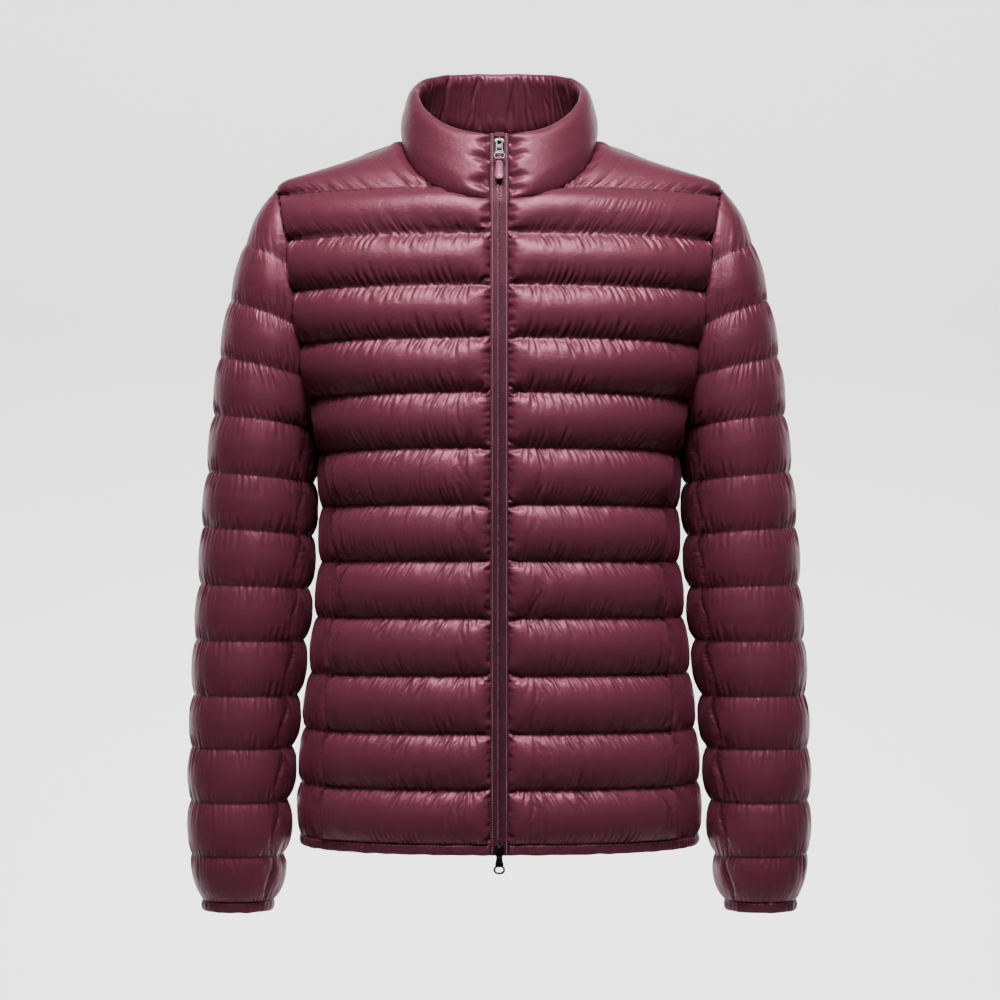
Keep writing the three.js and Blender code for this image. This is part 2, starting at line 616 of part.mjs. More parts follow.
function sideGeometry() {
  const first = LEVELS.findIndex((level) => level.width > 0);
  const top = sideSeam(LEVELS[first].z);
  const armpit = {
    top: armholeBottom,
    bottom: top,
    start: (v) => armholeBottom(0).lerp(top(0), v),
    end: (v) => armholeBottom(1).lerp(top(1), v),
  };
  const lower = LEVELS.slice(first, -1).map((level, i) => {
    const next = LEVELS[first + i + 1].z + (first + i === LEVELS.length - 2 ? SEAM : 0);
    const [a, b] = [sideSeam(level.z), sideSeam(next)];
    return { top: a, bottom: b, start: (v) => a(0).lerp(b(0), v), end: (v) => a(1).lerp(b(1), v) };
  });
  const rows = panelRows([armpit, ...lower], SIDE_COLUMNS);
  const lastColumn = SIDE_COLUMNS.length - 1;
  const fixNormal = (normal, i, j) => {
    const edge = armholeNormal(rows[0].points[j]);
    if (i === 0) return edge;
    if (i === rows.length - 1) return without(normal, 'z');
    return i === 1 ? normal.add(edge).normalize() : normal;
  };
  const puffAt = (u, i, j, point) => {
    const ends = [rows[i].points[0], rows[i].points[lastColumn]];
    const { from, to, least } = SIDE_CLEAR;
    const clear = Math.min(1, Math.max(least, (from - point.z) / (from - to)));
    return PUFF.side * clear * pinch(Math.min(...ends.map((end) => point.distanceTo(end))));
  };
  const inside = (point) => V(0, 0, point.z);
  return quiltedPanel(rows, SIDE_COLUMNS, { inside, fixNormal, puffAt, curvedRows: 0 });
}

// Sleeves

// One line round a sleeve at a place between two of its seams
function sleeveRing(place) {
  const low = Math.min(SLEEVE.length - 2, Math.floor(place));
  const part = (key) => mix(SLEEVE[low][key], SLEEVE[low + 1][key], place - low);
  const outX = part('outX');
  const outZ = part('outZ');
  if (place < SLEEVE_TUBE) {
    const edge = armholePoint(part('angle') * DEGREE);
    const half = Math.abs(edge.y);
    const firstHalf = ARMHOLE.depth * Math.sin(SLEEVE[1].angle * DEGREE);
    const depth = place < 1 ? half * (SLEEVE[1].depth / firstHalf) : part('depth');
    const share = depth > 0 ? half / depth : firstHalf / SLEEVE[1].depth;
    const tight = Math.sqrt(Math.max(0, 1 - share * share));
    const centre = (edge.x + tight * outX) / (1 + tight);
    const start = Math.acos(Math.min(1, tight));
    return { centre, across: outX - centre, depth, start, fore: 0, inX: edge.x, inZ: edge.z, outX, outZ };
  }
  const bent = mix(SLEEVE[low].inX, SLEEVE[low + 1].inX, (place - low) ** ARMPIT_BEND);
  const inX = low === SLEEVE_TUBE ? bent : part('inX');
  const inZ = part('inZ');
  const centre = (inX + outX) / 2;
  return { centre, across: outX - centre, depth: part('depth'), start: 0, fore: part('fore'), inX, inZ, outX, outZ };
}

function sleevePoint(ring, u) {
  const angle = mix(ring.start, 2 * Math.PI - ring.start, u);
  const x = ring.centre - ring.across * Math.cos(angle);
  const along = ring.outX - ring.inX < 0.01 ? 0 : (x - ring.inX) / (ring.outX - ring.inX);
  return V(x, ring.fore - ring.depth * Math.sin(angle), mix(ring.inZ, ring.outZ, along));
}

const SLEEVE_SHARES = [...Array(SLEEVE_COLUMNS + 1).keys()].map((j) => j / SLEEVE_COLUMNS);

function sleeveRows() {
  const rows = [];
  for (let seam = 0; seam < SLEEVE.length - 1; seam++) {
    ARCH_ROWS.forEach((share, i) => {
      if (i === 0 && seam > 0) return;
      const place = seam + share;
      const ring = sleeveRing(place);
      const clear = V(place < SLEEVE_TUBE ? SLEEVE_GAP : 0, 0, 0);
      const points = SLEEVE_SHARES.map((u) => sleevePoint(ring, u).add(clear));
      rows.push({ share, seam: share === 0 || share === 1, points, place });
    });
  }
  return rows;
}

function sleeveGeometry() {
  const rows = sleeveRows();
  const lastColumn = SLEEVE_COLUMNS;
  const tubeFrom = rows.findIndex((row) => row.place === SLEEVE_TUBE);
  const fixNormal = (normal, i, j) => {
    if (i === 0) return armholeNormal(SHOULDER_POINT);
    const edge = j === 0 || j === lastColumn;
    if (edge && i <= tubeFrom) return armholeNormal(rows[i].points[j]);
    if (edge) return V(-1, 0, i === tubeFrom + 1 ? -1 : 0).normalize();
    if (i === rows.length - 1) return without(normal, 'z');
    return i <= tubeFrom ? normal.setX(Math.max(0, normal.x)).normalize() : normal;
  };
  const puffAt = (u, i, j, point) => {
    const row = rows[i];
    const fromEdge = Math.min(point.distanceTo(row.points[0]), point.distanceTo(row.points[lastColumn]));
    const armholePinch = row.place < SLEEVE_TUBE + 1 ? pinch(fromEdge) : 1;
    const level = Math.min(1, Math.max(0, (row.place - SLEEVE_REST.to + 2) / 2));
    const near = row.place > SLEEVE_REST.from && fromEdge < SLEEVE_REST.reach;
    const rest = near ? mix(Math.max(SLEEVE_REST.left, fromEdge / SLEEVE_REST.reach), 1, level) : 1;
    return PUFF.sleeve * armholePinch * rest;
  };
  const inside = (point) => {
    const place = rows.find((row) => row.points.includes(point))?.place ?? 0;
    const ring = sleeveRing(place);
    return V(ring.centre - 12 * (place < 1 ? 1 : 0), ring.fore, point.z - (place < SLEEVE_TUBE ? 20 : 0));
  };
  return quiltedPanel(rows, SLEEVE_SHARES, { inside, fixNormal, puffAt, curvedRows: tubeFrom, tubeFrom });
}

// A band's section: a flat strip with one rounded edge each side, from its middle line.
// The points go down the outer face and up the inner face.
function bandSection(top, bottom, normal, thick) {
  const down = bottom.clone().sub(top);
  const at = (share, out) => top.clone().addScaledVector(down, share).addScaledVector(normal, out);
  const outer = [at(0, thick * 0.75), at(0.2, thick), at(0.8, thick), at(1, thick * 0.7)];
  return [at(0, 0.3), ...outer, at(1, 0.3), at(0.8, 0), at(0.2, 0)];
}

function cuffGeometry() {
  const last = SLEEVE.length - 1;
  const ring = sleeveRing(last);
  const sections = SLEEVE_SHARES.slice(0, -1).map((u) => {
    const point = sleevePoint(ring, u);
    const slope = V((point.x - ring.centre) / ring.across ** 2, (point.y - ring.fore) / ring.depth ** 2, 0);
    const normal = slope.normalize();
    const top = point.clone().add(V(0, 0, -2 * SEAM));
    return bandSection(top, top.clone().add(V(0, 0, -CUFF.height)), normal, CUFF.thick);
  });
  return loftGeometry(sections, true);
}

function hemGeometry() {
  const z = LEVELS[LEVELS.length - 1].z;
  const power = look(LEVELS, z, 'power');
  const width = look(LEVELS, z, 'width');
  const steps = 42;
  const gap = Math.asin(((ZIP_HALF + SEAM) / width) ** (power / 2));
  const sections = [...Array(steps + 1).keys()].map((i) => {
    const angle = mix(gap, 2 * Math.PI - gap, i / steps);
    const depth = Math.cos(angle) > 0 ? look(LEVELS, z, 'front') : look(LEVELS, z, 'back');
    const x = width * Math.sign(Math.sin(angle)) * Math.abs(Math.sin(angle)) ** (2 / power);
    const y = -Math.sign(Math.cos(angle)) * depth * Math.abs(Math.cos(angle)) ** (2 / power);
    const top = V(x, y, z - SEAM);
    const slope = (share, size) => Math.sign(share) * Math.abs(share) ** (power - 1) / size;
    const normal = V(slope(x / width, width), slope(y / depth, depth), 0).normalize();
    if (i === 0 || i === steps) normal.set(0, -1, 0);
    return bandSection(top, top.clone().setZ(HEM.bottom), normal, HEM.thick);
  });
  return loftGeometry(sections);
}

// Collar

// Places round half the neckline where the panels below have their own points, from the back to the front
const NECK_STATIONS = [
  ...HALF_COLUMNS.filter((c) => c <= NECK_SHARE).map((c) => Math.PI - (Math.PI / 2) * (c / NECK_SHARE)),
  ...YOKE_ROWS.slice(1).map((v) => mix(Math.PI / 2, YOKE_ANGLE, v)),
  ...NECK_ROWS.filter((v) => v > 0 && v <= NECK_CORNER)
    .map((v) => mix(YOKE_ANGLE, CENTRE_ANGLE, v / NECK_CORNER)),
];

// One side's columns of the collar: share of the way to the front, and the stations on its two sides
function collarColumns() {
  const columns = [];
  NECK_STATIONS.forEach((angle, i) => {
    if (i > 0) {
      const before = NECK_STATIONS[i - 1];
      const parts = angle >= Math.PI / 2 ? COLLAR_PARTS.back : COLLAR_PARTS.front;
      for (let k = 1; k < parts; k++) {
        columns.push({ angle: mix(before, angle, k / parts), from: before, to: angle, share: k / parts });
      }
    }
    columns.push({ angle, from: angle, to: angle, share: 0 });
  });
  return columns;
}

function collarSection(column, side) {
  const turn = (Math.PI - column.angle) / (Math.PI - CENTRE_ANGLE);
  const front = turn > 0.999;
  const point = (up) => {
    const width = mix(NECK.width, RIM.width, up);
    const start = Math.asin(((ZIP_HALF + SEAM) / width) ** (NECK.power / 2));
    const angle = Math.PI - (Math.PI - start) * turn;
    const low = neckLoop(NECK, angle, side).add(V(0, 0, SEAM));
    return low.lerp(neckLoop(RIM, angle, side), up);
  };
  const seamPoint = (out) => {
    const ends = [column.from, column.to].map((angle) => {
      const low = neckLoop(NECK, angle, side).add(V(0, 0, SEAM));
      const direction = necklineNormal(low);
      return low.addScaledVector(front ? without(direction, 'x') : direction, out);
    });
    return ends[0].lerp(ends[1], column.share);
  };
  const [low, high] = [point(0), point(1)];
  const outwards = V(front ? 0 : low.x / NECK.width, low.y / NECK.front, 0);
  const rise = high.clone().sub(low).normalize();
  const normal = outwards.clone().addScaledVector(rise, -outwards.dot(rise)).normalize();
  if (front) normal.setX(0).normalize();
  const gather = Math.cos(Math.PI * COLLAR_GATHERS * turn) * COLLAR_GATHER_DEPTH * (1 - 0.6 * turn);
  const full = mix(0.25, 1, pinch((1 - turn) * Math.PI * NECK.width, COLLAR_PINCH));
  return COLLAR_SECTION.map((row) => {
    if (row.up === 0) return seamPoint(row.out);
    return point(row.up).addScaledVector(normal, row.out * full + gather * row.gather);
  });
}

function collarGeometry() {
  const columns = collarColumns();
  const left = columns.map((column) => collarSection(column, 1));
  const right = columns.slice(1).reverse().map((column) => collarSection(column, -1));
  return loftGeometry([...right, ...left]);
}

// Zip

// The line of the zip down the middle of the front, at distances along it from the collar's rim
const ZIP_LINE = (() => {
  const top = neckLoop(RIM, 0, 1);
  const low = neckLoop(NECK, 0, 1);
  const rest = LEVELS.slice(1).map((level) => V(0, -level.front, level.z));
  const end = rest[rest.length - 1].clone().setZ(HEM.bottom);
  return [top, low, ...rest, end];
})();

function zipSection(index, half) {
  const here = ZIP_LINE[index];
  const before = ZIP_LINE[Math.max(0, index - 1)];
  const after = ZIP_LINE[Math.min(ZIP_LINE.length - 1, index + 1)];
  const run = after.clone().sub(before).normalize();
  const normal = V(0, run.z, -run.y);
  if (normal.y > 0) normal.negate();
  return half.map(([x, out]) => here.clone().addScaledVector(normal, out).setX(x));
}

const stripGeometry = (corners) => loftGeometry(ZIP_LINE.map((_, i) => zipSection(i, corners)));

function tapeGeometry() {
  const { inner, outer, thick } = TAPE;
  return stripGeometry([[inner, 0], [outer, 0], [outer, thick], [inner, thick]]);
}

function coilGeometry() {
  const { half, from, to } = COIL;
  const shoulder = mix(from, to, 0.6);
  const base = [[-half, from], [half, from]];
  return stripGeometry([...base, [half, shoulder], [half / 2, to], [-half / 2, to], [-half, shoulder]]);
}

// Boolean help for the small hard pieces

function toManifold(geometry) {
  const bare = geometry.clone();
  bare.deleteAttribute('normal');
  bare.deleteAttribute('uv');
  const merged = mergeVertices(bare, 1e-4);
  const vertProperties = new Float32Array(merged.getAttribute('position').array);
  const triVerts = new Uint32Array(merged.getIndex().array);
  return new wasm.Manifold(new wasm.Mesh({ numProp: 3, vertProperties, triVerts }));
}

function fromManifold(body) {
  const mesh = body.getMesh();
  const geometry = new THREE.BufferGeometry();
  geometry.setAttribute('position', new THREE.Float32BufferAttribute(mesh.vertProperties, 3));
  geometry.setIndex(Array.from(mesh.triVerts));
  return geometry;
}

// A flat plate drawn in x and z, with its faces at two distances outwards (towards -y)
function plateGeometry(shape, from, to) {
  const options = { depth: to - from, bevelEnabled: false, curveSegments: 6 };
  const geometry = new THREE.ExtrudeGeometry(shape, options);
  geometry.rotateX(Math.PI / 2);
  geometry.translate(0, -from, 0);
  return geometry;
}

const flatPoints = (points) => points.map(([x, z]) => new THREE.Vector2(x, z));

// An outline that runs anticlockwise, as its holes need
const outlineShape = (points) => new THREE.Shape(flatPoints(points).reverse());

const bothSides = (points) => [...points, ...[...points].reverse().map(([x, z]) => [-x, z])];

// Slider body with a bridge that holds the pull's bar. Its hinge lies at the local origin.
function sliderGeometry() {
  const top = BRIDGE.hole / 2 + 2.2;
  const low = top - SLIDER.length;
  const { half, waist, from, to } = SLIDER;
  const shoulders = [[half * 0.6, top], [half, top - 1.6], [half, top - 4]];
  const outline = bothSides([...shoulders, [waist, low + 3], [waist, low + 0.8], [waist * 0.7, low]]);
  const body = toManifold(plateGeometry(outlineShape(outline), from, to));
  const block = new THREE.BoxGeometry(2 * BRIDGE.half, BRIDGE.out, BRIDGE.length);
  block.translate(0, -(to + BRIDGE.out / 2 - 0.1), 0);
  const hole = new THREE.BoxGeometry(4 * BRIDGE.half, BRIDGE.hole, BRIDGE.hole);
  hole.translate(0, -HINGE_OUT, 0);
  const joined = body.add(toManifold(block)).subtract(toManifold(hole));
  return fromManifold(joined);
}

// The metal link: a bar in the slider's bridge, two rails and a wider ring
function linkGeometry() {
  const bar = PLATE / 2;
  const low = -LINK.long;
  const { neck, ring, window, ringWindow, windowEnd, ringStart } = LINK;
  const rail = [[neck - 0.8, bar], [neck, -0.4], [neck, -windowEnd + 0.6]];
  const shape = outlineShape(bothSides([...rail, [ring, -ringStart - 0.6], [ring, low + 2], [neck, low - bar]]));
  const upper = bothSides([[window, -bar], [window, -windowEnd]]);
  const lowerTop = [[window, -ringStart + 0.4], [ringWindow, -ringStart - 1]];
  const lower = bothSides([...lowerTop, [ringWindow, low + 2], [ringWindow - 1, low + bar]]);
  shape.holes.push(new THREE.Path(flatPoints(upper)), new THREE.Path(flatPoints(lower)));
  return plateGeometry(shape, HINGE_OUT - bar, HINGE_OUT + bar);
}

// The cloth tab: a loop round the ring's lower bar and a flat tongue under it. Hinge at the local origin.
function tabGeometry() {
  const { long, top, half, thick, loop, loopHole, loopHalf } = TAB;
  const end = [[half, -long + 5], [half, -long + 1.6], [half - 1.6, -long]];
  const tongue = bothSides([[top, -loop + 0.2], [top + 0.3, -6], ...end]);
  const plate = toManifold(plateGeometry(outlineShape(tongue), -thick / 2, thick / 2));
  const ring = new THREE.Shape();
  ring.absarc(0, 0, loop, 0, 2 * Math.PI, false);
  const hole = new THREE.Path();
  hole.absarc(0, 0, loopHole, 0, 2 * Math.PI, true);
  ring.holes.push(hole);
  const options = { depth: 2 * loopHalf, bevelEnabled: false, curveSegments: 7 };
  const tube = new THREE.ExtrudeGeometry(ring, options);
  tube.translate(0, 0, -loopHalf);
  tube.rotateY(Math.PI / 2);
  return fromManifold(plate.add(toManifold(tube)));
}

// The lower slider's pull, with an oval hole near its end
function bottomPullGeometry() {
  const bar = PLATE / 2;
  const { long, neck, ring, hole, window } = BOTTOM_PULL;
  const rail = [[neck - 0.6, bar], [neck, -0.4], [neck, -long + 13]];
  const shape = outlineShape(bothSides([...rail, [ring, -long + 8.5], [ring, -long + 3], [neck, -long]]));
  shape.holes.push(new THREE.Path(flatPoints(bothSides([[window, -bar], [window, -long + 14]]))));
  const oval = new THREE.Path();
  oval.absellipse(0, -long + 5.2, ring - 2, hole, 0, 2 * Math.PI, true);
  shape.holes.push(oval);
  return plateGeometry(shape, HINGE_OUT - bar, HINGE_OUT + bar);
}

// A small cloth cover over the top end of the zip
function garageGeometry() {
  const { half, height, from, to } = GARAGE;
  const outline = bothSides([[half, -0.4], [half, -height + 1], [half - 1, -height]]);
  return plateGeometry(outlineShape(outline), from, to);
}

function buildCloth() {
  const front = frontGeometry();
  const side = sideGeometry();
  const sleeve = sleeveGeometry();
  const cuff = cuffGeometry();
  const tape = tapeGeometry();
  for (const [name, geometry, finish] of [
    ['front', front, PLUM], ['side', side, PLUM], ['sleeve', sleeve, PLUM],
    ['cuff', cuff, PLUM_DARK], ['zip_tape', tape, PLUM_DARK]]) {
    addPiece(`${name}_left`, geometry, finish);
    addPiece(`${name}_right`, mirrored(geometry), finish);
  }
  addPiece('back', backGeometry(), PLUM);
  addPiece('collar', collarGeometry(), PLUM);
  addPiece('hem_binding', hemGeometry(), PLUM_DARK);
}

function buildZip() {
  addPiece('zip_coil', coilGeometry(), COIL_DARK);
  const rim = ZIP_LINE[0];
  const neck = ZIP_LINE[1];
  const upper = new THREE.Group();
  upper.position.copy(rim);
  upper.rotation.x = -Math.atan2(rim.y - neck.y, rim.z - neck.z);
  jacket.add(upper);
  addPiece('zip_garage', garageGeometry(), PLUM, upper);
  const topHinge = new THREE.Group();
  topHinge.position.set(0, 0, -TOP_HINGE_DROP);
  upper.add(topHinge);
  addPiece('top_slider', sliderGeometry(), BLACK_METAL, topHinge);
  addPiece('top_pull_link', linkGeometry(), GUNMETAL, topHinge);
  const tab = addPiece('top_pull_tab', tabGeometry(), PLUM, topHinge);
  tab.position.set(0, -HINGE_OUT, -LINK.long);
  const bottomHinge = new THREE.Group();
  bottomHinge.position.set(0, ZIP_LINE[ZIP_LINE.length - 1].y, BOTTOM_HINGE_Z);
  jacket.add(bottomHinge);
  addPiece('bottom_slider', sliderGeometry(), BLACK_METAL, bottomHinge);
  addPiece('bottom_pull', bottomPullGeometry(), BLACK_METAL, bottomHinge);
}

buildCloth();
buildZip();

export default jacket;
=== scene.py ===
"""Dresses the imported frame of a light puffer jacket, worn and hollow.

Shapes are worked out in millimetres with the part's own sizes: +Z up, the zip towards -Y, the wearer's
left towards +X. Meshes are made in metres, in the frame's own place.
"""

import math

import bpy
import numpy as np
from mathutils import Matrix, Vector


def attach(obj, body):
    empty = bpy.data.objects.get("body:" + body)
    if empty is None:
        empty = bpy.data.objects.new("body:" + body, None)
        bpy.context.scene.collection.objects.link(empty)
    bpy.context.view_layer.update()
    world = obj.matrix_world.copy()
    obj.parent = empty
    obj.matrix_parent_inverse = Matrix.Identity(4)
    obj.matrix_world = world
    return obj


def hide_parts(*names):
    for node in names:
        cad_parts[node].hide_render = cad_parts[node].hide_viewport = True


bl_info = {
    "name": "Puffer Jacket",
    "version": (1, 0, 0),
    "blender": (4, 5, 0),
    "location": "View3D > Sidebar > Jacket",
    "description": "Sews a quilted jacket round its frame and sets up the studio",
    "category": "Mesh",
}

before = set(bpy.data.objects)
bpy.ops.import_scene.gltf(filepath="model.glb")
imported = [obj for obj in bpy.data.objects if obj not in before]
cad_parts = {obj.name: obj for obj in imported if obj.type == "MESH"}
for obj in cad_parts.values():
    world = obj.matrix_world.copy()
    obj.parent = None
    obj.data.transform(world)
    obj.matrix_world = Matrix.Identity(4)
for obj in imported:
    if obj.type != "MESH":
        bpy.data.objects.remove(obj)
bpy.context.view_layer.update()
MM = 0.001
BODY = "jacket"


def columns(names, *rows):
    """A table's named columns, as arrays."""
    return dict(zip(names.split(), np.array(rows, float).T))


# Cloth
WALL = 2.0
SEAM = 0.18
ARCH = 0.68
EDGE_TAPER = 24
NECK_TAPER = 20
ZIP_HALF = 8.5
FULL_CHANNEL = 40
LANE = {"height": 46, "fade": 26}
GATHER_REACH = 13.5
PUFF = {"front": 7.2, "side": 4.6, "back": 7.0, "sleeve": 5.4}

# Quilting seams of the body
LEVELS = columns(
    "z width front back power",
    (-47, 0, 75, 76, 2.0), (-90, 0, 98, 95, 2.2), (-136, 0, 107, 105, 2.3), (-183, 0, 113, 110, 2.35),
    (-231, 0, 117, 111, 2.35), (-280, 162, 119, 109, 2.35), (-329.5, 160, 120, 106, 2.35),
    (-379, 160.6, 120, 103, 2.35), (-429, 164.7, 121, 102, 2.35), (-479.5, 170, 122, 104, 2.35),
    (-530, 175.6, 123, 107, 2.35), (-579, 179, 124, 110, 2.35), (-627, 179.5, 124.5, 112, 2.35),
)
LEVEL_Z = LEVELS["z"]
HEM = {"bottom": -636, "thick": 3.4}
ARMPIT_LEVEL = -231
BACK_YOKE = {"z": -8, "drop": 1.6}
SIDE_SEAM = columns(
    "z x", (-231, 168.5), (-280, 153), (-329.5, 145.5), (-379, 141.5), (-429, 145.5), (-479.5, 148.5),
    (-530, 151), (-579, 153.5), (-627, 156),
)
ARMHOLE = {"centre": -148, "half": 109, "depth": 52}
ARMHOLE_X = columns(
    "z x", (-257, 167.5), (-231, 168.5), (-183, 178), (-136, 185.2), (-90, 190.8), (-59, 196.3),
    (-39, 202.8), (-30, 205.9),
)
NECK = {"width": 86.7, "front": 92, "back": 80, "power": 2.2, "height": (-5, -47.6, -12, 3.6)}
RIM = {"width": 74.4, "front": 70, "back": 74, "power": 2.2, "height": (51.75, -42.5, -6.25, 0)}
NECK_CORNER = 0.5

# Sleeve seams
SLEEVE = columns(
    "angle outX outZ inX inZ depth fore",
    (0, 202.8, -39, 0, 0, 0, 0), (70.7, 230, -88, 0, 0, 52.5, 0), (100, 243.6, -140, 0, 0, 59, 0),
    (126, 253, -192, 0, 0, 63.5, 0), (180, 259, -245, 168, -257, 66, 0),
    (180, 264, -297, 173.5, -306, 66, -1), (180, 268.7, -347, 175, -354, 63.5, -3),
    (180, 271.3, -399, 177.6, -402, 60, -6), (180, 275, -449.8, 181.3, -449.8, 56, -9),
    (180, 276.6, -499.5, 187.6, -499.5, 52, -12), (180, 278.7, -547, 191.8, -547, 48.5, -15),
    (180, 278.9, -595.5, 195.5, -595.5, 45, -18), (180, 278.2, -643.8, 199, -643.8, 41.5, -21),
    (180, 267.9, -685.8, 207.8, -685.8, 31, -23),
)
SLEEVE_GAP = 0.42
SLEEVE_TUBE = 4
ARMPIT_BEND = 0.35
SLEEVE_REST = {"from": 3, "to": 8, "reach": 70, "left": 0.8}
CUFF = {"height": 9, "thick": 2.8}

# Collar section: share of its height, distance outwards, weight of the folds
COLLAR_SECTION = columns(
    "up out gather", (0, 2.0, 0), (0.12, 5.2, 0), (0.42, 7.4, 0), (0.78, 6.4, 0), (0.95, 4.2, 0.2),
    (1.02, 1.2, 0.4), (0.96, -1.6, 0.8), (0.66, -2.6, 1.0), (0.28, -1.6, 0.6), (0, 0, 0),
)
COLLAR_MIDDLE = columns("up out", (0, 1.0), (0.28, 2.4), (0.66, 2.1), (0.9, 1.3))
COLLAR_PINCH = 16
COLLAR_FOLDS = 14

# Zip: its tapes also reach under the fronts' edges
TAPE_SECTION = [
    (0.25, 0), (0.25, 1.2), (4, 1.3), (8.0, 1.2), (8.7, 0.1), (10.3, -0.15), (10.3, -0.75), (8.2, -0.7)]
COIL = {"half": 2.1, "from": 1.5, "to": 2.7, "pitch": 1.45}
GARAGE = {"half": 4.6, "height": 5.2, "from": 3.0, "to": 4.2}
SLIDER = {"half": 4.4, "length": 11.5, "waist": 3.0, "from": 3.1, "to": 5.6, "top": 3.3}
BRIDGE = {"half": 1.15, "reach": 2.3, "out": 8.5}
LINK = {"long": 18.3, "neck": 3.6, "ring": 5.5, "ring_start": 12.6, "window_end": 10.2}
TAB = {"long": 20, "top": 2.9, "half": 3.7, "thick": 1.7, "loop": 2.3, "loop_half": 2.1}
BOTTOM_PULL = {"long": 22, "neck": 2.9, "ring": 5.2, "window_end": 8}
HINGE_OUT = 6.9
TOP_HINGE_DROP = 10.4
BOTTOM_HINGE_Z = -629.5
STITCH_AT = 6.3
BINDING_LAP = 1.3
SIDE_LAP = 0.5

# Fineness of the meshes
CHANNEL_ROWS = 24
PICK = 4
FRONT_STEPS = 176
BACK_STEPS = 272
SIDE_STEPS = 76
SLEEVE_STEPS = 236
COLLAR_ROWS = 47
COLLAR_STEPS = 420
SWELL_STEPS = 400


# Small helpers on whole arrays


def at(table, column, z):
    """Straight interpolation of one column of a table by its height."""
    order = np.argsort(table["z"])
    return np.interp(z, table["z"][order], table[column][order])


def mix(a, b, t):
    """The value at share t of the way from a to b."""
    return a + (b - a) * t


def points(x, y, z):
    """Points from their coordinates, spread to one shape."""
    return np.stack(np.broadcast_arrays(x, y, z), axis=-1).astype(float)


def length(v):
    """Length of each vector."""
    return np.sqrt((v * v).sum(axis=-1))


def unit(v):
    """Each vector at length one."""
    return v / np.maximum(length(v), 1e-9)[..., None]


def arch(share):
    """Height of a channel's arch: (4 s (1 - s)) raised to a power."""
    return np.maximum(0, 4 * share * (1 - share)) ** ARCH


def pinch(distance, reach=EDGE_TAPER):
    """Quarter circle that grows from nothing at a sewn edge to one at its reach."""
    left = 1 - np.clip(distance / reach, 0, 1)
    return np.sqrt(1 - left * left)


def ripple(along, wave, seed, terms=7):
    """Uneven wave: a sum of sines whose lengths lie round a given one, with seeded phases."""
    draw = np.random.RandomState(seed)
    total = np.zeros_like(along, float)
    for _ in range(terms):
        size = wave * draw.uniform(0.6, 1.7)
        total += draw.uniform(0.5, 1) * np.sin(2 * np.pi * (along / size + draw.uniform()))
    return total / math.sqrt(terms * 0.3)


def field(u, v, wave_u, wave_v, seed, lean=0.0, terms=16):
    """Uneven wave over a surface: plane sines of seeded direction, with crests that lean."""
    draw = np.random.RandomState(seed)
    total = np.zeros(np.broadcast(u, v).shape)
    for _ in range(terms):
        fu = draw.uniform(0.5, 1.5) / wave_u
        fv = draw.uniform(-1, 1) / wave_v + lean * fu
        total += np.sin(2 * np.pi * (fu * u + fv * v + draw.uniform()))
    return total / math.sqrt(terms * 0.5)


# Body surface


def armhole_depth(z):
    """Half depth of the armhole's oval at a height."""
    share = (z - ARMHOLE["centre"]) / ARMHOLE["half"]
    return ARMHOLE["depth"] * np.sqrt(np.maximum(0, 1 - share * share))


def armhole_point(angle):
    """A point of the armhole by its angle from the shoulder down the front."""
    z = ARMHOLE["centre"] + ARMHOLE["half"] * np.cos(angle)
    return points(at(ARMHOLE_X, "x", z), -ARMHOLE["depth"] * np.sin(angle), z)


def depth_at(x, z, face):
    """Depth of a rounded oval at x: depth (1 - (x / width)^p)^(1/p), through the armhole beside it."""
    power = at(LEVELS, "power", z)
    depth = at(LEVELS, face, z)
    share = np.minimum(0.98, armhole_depth(z) / depth)
    through = at(ARMHOLE_X, "x", z) / (1 - share**power) ** (1 / power)
    width = np.where(z >= ARMPIT_LEVEL, through, np.maximum(1, at(LEVELS, "width", z)))
    return depth * np.maximum(0, 1 - (np.abs(x) / width) ** power) ** (1 / power)


def edge_x(z):
    """Where a front or the back ends: at the armhole or at the side seam."""
    return np.where(z > ARMPIT_LEVEL, at(ARMHOLE_X, "x", z), at(SIDE_SEAM, "x", z))


def front_point(x, z):
    """A point of the front."""
    return points(x, -depth_at(x, z, "front"), z)


def back_point(x, z):
    """A point of the back."""
    return points(x, depth_at(x, z, "back"), z)


def neck_loop(loop, angle, side=1):
    """A loop round the neck, 0 in front: a rounded oval whose height is a sum of three cosines."""
    s, c = np.sin(angle), np.cos(angle)
    a, b, d, e = loop["height"]
    z = a + b * c + d * np.cos(2 * angle) + e * np.cos(3 * angle)
    bend = 2 / loop["power"]
    reach = np.where(c > 0, -loop["front"], loop["back"])
    return points(side * loop["width"] * np.abs(s) ** bend, reach * np.abs(c) ** bend, z)


NECK_TURNS = np.linspace(0, math.pi / 2, 4000)
YOKE_ANGLE = float(np.interp(LEVEL_Z[0], neck_loop(NECK, NECK_TURNS)[:, 2], NECK_TURNS))
CENTRE_ANGLE = math.asin(((ZIP_HALF + SEAM) / NECK["width"]) ** (NECK["power"] / 2))
SHOULDER_NECK = neck_loop(NECK, math.pi / 2)
SHOULDER_POINT = armhole_point(0.0)
NECKLINE = neck_loop(NECK, np.linspace(0, math.pi, 61))


def shoulder_seam(share):
    """Straight line from the neck to the shoulder point."""
    return mix(SHOULDER_NECK, SHOULDER_POINT, np.asarray(share, float)[..., None])


def neck_distance(grid):
    """Distance of each point to the nearest of the neckline's samples."""
    flat = grid.reshape(-1, 3) * (1, 1, 1)
    flat[:, 0] = np.abs(flat[:, 0])
    least = np.full(len(flat), 1e9)
    for sample in NECKLINE:
        least = np.minimum(least, length(flat - sample))
    return least.reshape(grid.shape[:-1])


# Panels as channels: each is ruled between two seams and pulled to its two edges


